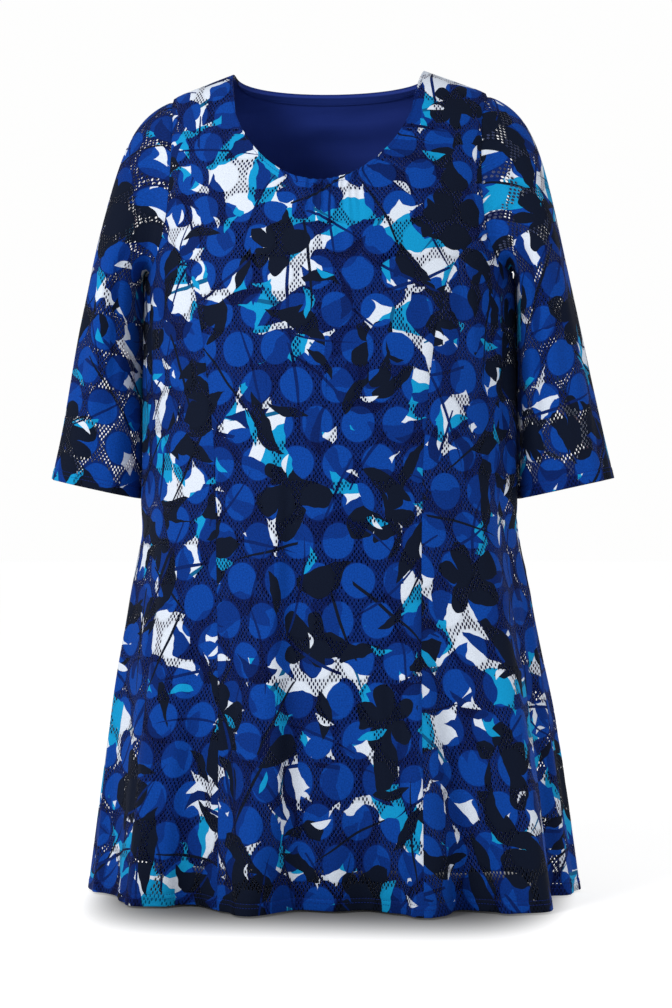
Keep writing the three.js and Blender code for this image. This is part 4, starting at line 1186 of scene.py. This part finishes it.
def sleeve(side, shift):
    points, normals, place, ways, lowest = sleeve_grid()
    _, _, from_top, from_cuff = lengths_from_edges(points)
    relief = sleeve_relief(side, place, ways)
    relief += seam_dip(from_top, place[None, :] * 1.5, 9)
    relief += turned_band(from_cuff, CUFF_TURN)
    points = points + normals * relief[..., None]
    # Flat coordinates: along each ring from the outer edge, and up from the cuff.
    ring = np.linalg.norm(np.diff(points[HEAD_RINGS:], axis=1), axis=-1)
    ring = np.concatenate([np.zeros((len(ring), 1)), np.cumsum(ring, axis=1)], axis=1)
    ring = np.concatenate([np.repeat(ring[:1], HEAD_RINGS, axis=0), ring])
    up = from_cuff / SLEEVE_STRETCH
    flat_front, flat_back = [
        np.stack([-part, up], axis=-1) * METRE for part in (ring, ring - ring[:, -1:])
    ]
    # The grid starts and ends at the underarm seam, so that the print breaks there.
    order = np.concatenate([np.arange(lowest, len(place) - 1), np.arange(0, lowest + 1)])
    points, normals = points[:, order], normals[:, order]
    flat_places = np.concatenate([flat_back[:, lowest:-1], flat_front[:, :lowest + 1]], axis=1)
    if side < 0:
        points = points[:, ::-1] * np.array([-1, 1, 1])
        normals = normals[:, ::-1] * np.array([-1, 1, 1])
        flat_places = flat_places[:, ::-1] * np.array([-1, 1])
    # Rows run up from the cuff, as in the panels.
    points, normals, flat_places = points[::-1], normals[::-1], flat_places[::-1] + np.array(shift)
    double = face_values(lengths_from_edges(points)[2]) < CUFF_TURN
    name = "sleeve_left" if side > 0 else "sleeve_right"
    piece = cloth_shell(name + "_cloth", points, normals, flat_places, CLOTH, PRINTED_KNIT, True, double)
    finish_piece(piece, [name])
    return points, normals


left_sleeve = sleeve(1, (7.411, 4.207))
right_sleeve = sleeve(-1, (9.102, 6.333))

# ------------------------------------------------------------------ lining and tape

# Creases of the lining: turn, lean, first and last drop, width, height.
LINING_CREASES = [
    (-165, 1.0, 30, 200, 3.5, -1.2), (-152, 2.0, 20, 160, 3.0, 1.0), (168, -1.2, 25, 240, 3.5, -1.2),
    (154, -2.0, 20, 170, 3.0, 1.0), (178, 0.5, 60, 300, 4.0, 0.9), (-40, 0, 150, 420, 4, -1.5),
    (35, 0, 160, 400, 4, -1.5), (0, 0, 260, 620, 5, -1.5),
]

LINING_FADE = 0.4

# Soft drapes across the back lining: middle, reach to each side, drop, sag towards the middle, width,
# height.
LINING_DRAPES = [
    (-172, 26, 24, 10, 5, 1.7), (-160, 18, 40, 16, 7, -2.4), (176, 22, 36, 8, 7, -2.2),
    (166, 20, 52, 18, 8, 1.8), (-176, 30, 70, 12, 9, -2.6), (-165, 22, 92, 18, 9, -2.4),
]


def lining_neck(lowest):
    half_width = NECK_HALF_WIDTH + LINING_NECK_INSET
    swapped = SECTIONS[:5, [HALF_WIDTH, 0]]
    return half_width, float(read_table(swapped, 1, half_width)), lowest + LINING_NECK_INSET


def lining(name, lowest, is_back):
    left = join(side_seam(LINING_LENGTH, LINING_ARMHOLE[1], False), lining_armhole)
    top_places = even_top(lining_neck(lowest), LINING_ARMHOLE[0],
                          LINING_SHOULDER_COLUMNS, LINING_NECK_COLUMNS)
    bottom = hem_edge(-90, 90, len(top_places[0]) - 1, LINING_LENGTH)
    turn, drop = fill_grid(to_right(left), left, bottom, top_places)
    if is_back:
        turn, drop = 180 - turn[:, ::-1], drop[:, ::-1]
    below = drop - drop[-1:]
    free = read_table(LINING_CLEARANCE, 1, drop)
    inside = -WALL - mix(LINING_SEWN_GAP, free, np.clip(below / LINING_SEWN_DEPTH, 0, 1))
    for place, lean, top, bottom_drop, width, out in LINING_CREASES:
        away = turn_away(turn, place + lean * (drop - top) / 100)
        share = (drop - top) / (bottom_drop - top)
        ends = ease(share / LINING_FADE) * ease((1 - share) / LINING_FADE)
        inside = inside + out * ends * ridge(away, width)
    for place, reach, level, sag, width, out in LINING_DRAPES:
        away = turn_away(turn, place) / reach
        across = (drop - level - sag * (1 - away ** 2)) / width
        inside = inside + out * np.exp(-across ** 2 - away ** 4) * ease(below / 8)
    normals = body_normal(turn, drop, True)
    points = body_point(turn, drop, True) + normals * inside[..., None]
    flat_places = cloth_coordinates(turn, drop, 180.0 if is_back else 0.0, True)
    piece = cloth_shell(name + "_cloth", points, normals, flat_places, LINING_CLOTH, [LINING])
    finish_piece(piece, [name])
    return points, normals


lining("lining_front", NECK_FRONT_DROP, False)
back_lining = lining("lining_back", NECK_BACK_DROP, True)


def row_at(points, normals, distances, away):
    """Points and normals a given way in from an edge, along the columns of a grid."""
    grows = distances[0, 0] < distances[-1, 0]
    passed = distances < away if grows else distances > away
    step = np.clip(np.sum(passed, axis=0), 1, len(points) - 1)
    low, high = (step - 1, step) if grows else (step, step - 1)
    column = np.arange(points.shape[1])
    start, end = distances[low, column], distances[high, column]
    share = np.clip((away - start) / np.where(end == start, 1, end - start), 0, 1)[:, None]
    point = mix(points[low, column], points[high, column], share)
    return point, unit(mix(normals[low, column], normals[high, column], share))


# The tape: width, gap to the lining, and its stitch line: dip, width and distance from the lower edge.
TAPE_WIDTH, TAPE_GAP = 9.6, 0.4
TAPE_DIP, TAPE_DIP_WIDTH, TAPE_STITCH_LINE = 0.3, 0.5, 1.8


def read_row(row, places, at):
    """A row of points or normals, given at places along it, read at other places."""
    return np.stack([np.interp(at, places, row[:, k]) for k in range(3)], axis=-1)


def along_share(row, count):
    """A row of points or normals read again at even shares of its columns."""
    return read_row(row, np.arange(len(row)), np.linspace(0, len(row) - 1, count))


def neck_tape(lining_grid, back_grid):
    """Flat band inside the back neck, from the edge of the neckline down over the lining's edge."""
    points, normals = lining_grid
    _, _, _, from_top = lengths_from_edges(points)
    trim = LINING_SHOULDER_COLUMNS + 2
    neck = slice(trim, points.shape[1] - trim)
    rows = []
    for away in np.linspace(TAPE_WIDTH, 0.8, 12):
        point, normal = row_at(points, normals, from_top, away)
        dip = TAPE_DIP * math.exp(-((away - TAPE_WIDTH + TAPE_STITCH_LINE) / TAPE_DIP_WIDTH) ** 2)
        lift = LINING_CLOTH + TAPE_GAP - dip
        if away == TAPE_WIDTH:
            lift -= 0.25
        rows.append((point[neck] - normal[neck] * lift, normal[neck]))
    for rise in (0.0, 0.9):
        point = points[-1] - normals[-1] * (LINING_CLOTH + TAPE_GAP) + np.array([0, 0, rise])
        rows.append((point[neck], normals[-1][neck]))
    points, normals = back_grid
    _, _, _, from_top = lengths_from_edges(points)
    count = len(rows[0][0])
    trim = BACK_SHOULDER_COLUMNS + 4
    for away, inset in ((1.2, 1.3), (0.7, 0.9), (0.2, 0.8)):
        point, normal = row_at(points, normals, from_top, away)
        point, normal = along_share(point[trim:-trim], count), along_share(normal[trim:-trim], count)
        rows.append((point - normal * inset, normal))
    points = np.stack([row[0] for row in rows])
    normals = np.stack([row[1] for row in rows])
    left, _, bottom, _ = lengths_from_edges(points)
    flat_places = np.stack([left, bottom], axis=-1) * METRE
    piece = cloth_shell("back_neck_tape_cloth", points, normals, flat_places, TAPE_CLOTH, [TAPE])
    finish_piece(piece, ["back_neck_tape"])
    return points, normals


tape_grid = neck_tape(back_lining, back_grid)

# ------------------------------------------------------------------ stitches

STITCH_PITCH = 3.3
STITCH_LENGTH = 2.5
STITCH_RADIUS = 0.26
# A stitch is a bowed thread: shares of its length with shares of its radius.
STITCH_SHAPE = [(-0.5, 0.25), (-0.36, 0.85), (0.0, 1.0), (0.36, 0.85), (0.5, 0.25)]
STITCH_SIDES = 6
STITCH_FLATNESS, STITCH_BOW, STITCH_SUNK = 0.8, 0.9, 0.05
# Distance between the two rows of stitches at the hem and the cuffs.
ROWS_APART = 4.5


def stitches(name, paths, pitch=STITCH_PITCH, radius=STITCH_RADIUS):
    """Rows of short threads lying on the cloth, one mesh for all of them."""
    sides = STITCH_SIDES
    ring = np.arange(sides) * 2 * math.pi / sides
    last = (len(STITCH_SHAPE) - 1) * sides
    vertices, faces = [], []
    for points, normals in paths:
        lengths = np.concatenate([[0], np.cumsum(np.linalg.norm(np.diff(points, axis=0), axis=-1))])
        middles = np.arange(pitch / 2, lengths[-1] - pitch / 2, pitch)
        for at in middles:
            spot = read_row(points, lengths, at)
            normal = unit(read_row(normals, lengths, at))
            along = unit(read_row(points, lengths, at + 0.8) - read_row(points, lengths, at - 0.8))
            across = unit(np.cross(normal, along))
            first = len(vertices)
            for share, width in STITCH_SHAPE:
                bow = radius * STITCH_BOW * (1 - 4 * share * share) - STITCH_SUNK
                centre = spot + along * share * STITCH_LENGTH + normal * bow
                for angle in ring:
                    around = across * math.cos(angle) + normal * math.sin(angle) * STITCH_FLATNESS
                    vertices.append(centre + around * radius * width)
            for start in range(first, first + last, sides):
                for k in range(sides):
                    a, b = start + k, start + (k + 1) % sides
                    faces.append((a, b, b + sides, a + sides))
            faces.append(tuple(range(first, first + sides))[::-1])
            faces.append(tuple(range(first + last, first + last + sides)))
    mesh = bpy.data.meshes.new(name)
    mesh.from_pydata((np.array(vertices) * METRE).tolist(), [], faces)
    mesh.materials.append(THREAD)
    mesh.shade_smooth()
    finish_piece(add_object(name, mesh))


def edge_paths(grids, aways, from_top=False, columns=slice(None)):
    paths = []
    for points, normals in grids:
        _, _, up, down = lengths_from_edges(points)
        for away in aways:
            point, normal = row_at(points, normals, down if from_top else up, away)
            paths.append((point[columns], normal[columns]))
    return paths


stitches("hem_stitches", edge_paths(body_grids, (HEM_TURN - ROWS_APART, HEM_TURN)))
stitches("cuff_stitches", edge_paths([left_sleeve, right_sleeve], (CUFF_TURN - ROWS_APART, CUFF_TURN)))
neck_paths = []
for grid, shoulder in ((front_grid, FRONT_SHOULDER_COLUMNS), (back_grid, BACK_SHOULDER_COLUMNS)):
    neck_paths += edge_paths([grid], (NECK_TURN,), True, slice(shoulder + 1, -shoulder - 1))
stitches("neck_stitches", neck_paths, pitch=3.0)
tape_points, tape_normals = tape_grid
tape_inside = (tape_points - tape_normals * TAPE_CLOTH, -tape_normals)
stitches("tape_stitches", edge_paths([tape_inside], (TAPE_STITCH_LINE,)), pitch=2.8, radius=0.2)

# ------------------------------------------------------------------ stage, light and camera

FLOOR_Z = -0.9245
FLOOR_RADIUS = 14.0
FLOOR_SIDES = 64
# Painted soft shadow on the floor round the hem: half its width and depth, and where it starts and ends to
# fade.
SHADOW_HALF_WIDTH, SHADOW_HALF_DEPTH = 0.278, 0.29
SHADOW_FADE = (0.10, 1.02)
# How much of the floor's colour is left in the painted shadow, and how strongly the floor glows outside
# it; the glow fades out in the painted shadow too.
SHADOW_SHARE = 0.22
FLOOR_GLOW = 0.70


def add_floor():
    """White, glowing floor whose colour and glow give way to a painted soft shadow round the hem."""
    material, graph, shader = new_material("studio_floor")
    place = graph.node("ShaderNodeTexCoord").outputs["Object"]
    x, y, _ = graph.split(place)
    across, ahead = [
        graph.math("POWER", graph.math("ABSOLUTE", graph.over(value, half)), power)
        for value, half, power in ((x, SHADOW_HALF_WIDTH, 6.0), (y, SHADOW_HALF_DEPTH, 2.0))
    ]
    # Painted shadow: inside this rounded outline round the hem, the floor's colour and glow are dimmed.
    outside_painted_shadow = graph.fade(graph.add(across, ahead), *SHADOW_FADE)
    shade = graph.times(graph.blend(graph.noise(place, 3.0, 2.0), 0.49, 0.51),
                       graph.blend(outside_painted_shadow, SHADOW_SHARE, 1.0))
    graph.feed(shader["Base Color"], graph.join(shade, shade, shade))
    shader["Roughness"].default_value = 0.9
    shader["Emission Color"].default_value = (1, 1, 1, 1)
    graph.feed(shader["Emission Strength"], graph.blend(outside_painted_shadow, 0.0, FLOOR_GLOW))
    mesh = bpy.data.meshes.new("floor")
    angles = [2 * math.pi * i / FLOOR_SIDES for i in range(FLOOR_SIDES)]
    spots = [(FLOOR_RADIUS * math.cos(a), FLOOR_RADIUS * math.sin(a), FLOOR_Z) for a in angles]
    mesh.from_pydata(spots, [], [list(range(FLOOR_SIDES))])
    mesh.materials.append(material)
    floor = add_object("floor", mesh)


def add_world():
    world = bpy.data.worlds.new("studio")
    bpy.context.scene.world = world
    world.use_nodes = True
    graph = Graph(world.node_tree)
    background = world.node_tree.nodes["Background"]
    background.inputs["Color"].default_value = (0.99, 0.99, 0.988, 1)
    seen = graph.node("ShaderNodeLightPath").outputs["Is Camera Ray"]
    graph.feed(background.inputs["Strength"], graph.blend(seen, 0.56, 1.0))


def add_light(name, location, target, size, power):
    data = bpy.data.lights.new(name, "AREA")
    data.shape = "RECTANGLE"
    data.size, data.size_y = size
    data.energy = power
    light = add_object(name, data)
    light.location = location
    aim = np.array(target) - np.array(location)
    light.rotation_mode = "QUATERNION"
    light.rotation_quaternion = Vector(aim).to_track_quat("-Z", "Y")


CAMERA_AZIMUTH = 5.5
CAMERA_DISTANCE = 2.42
CAMERA_Z = -0.486
CAMERA_LEFT = 0.0068
LENS = 76.4


def add_camera():
    data = bpy.data.cameras.new("camera")
    data.sensor_width = 36.0
    data.lens = LENS
    camera = add_object("camera", data)
    turn = math.radians(CAMERA_AZIMUTH)
    side = (math.cos(turn), math.sin(turn))
    back = (math.sin(turn), -math.cos(turn))
    camera.location = (
        back[0] * CAMERA_DISTANCE + side[0] * CAMERA_LEFT,
        back[1] * CAMERA_DISTANCE + side[1] * CAMERA_LEFT,
        CAMERA_Z,
    )
    camera.rotation_euler = (math.pi / 2, 0, turn)
    bpy.context.scene.camera = camera


add_floor()
add_world()
add_light("key", (-1.8, -2.1, 1.15), (0, 0, -0.45), (1.1, 1.1), 66.0)
add_light("fill", (2.4, -2.2, 0.2), (0, 0, -0.5), (1.8, 1.8), 20.0)
add_camera()
bpy.context.scene.view_settings.view_transform = "Standard"
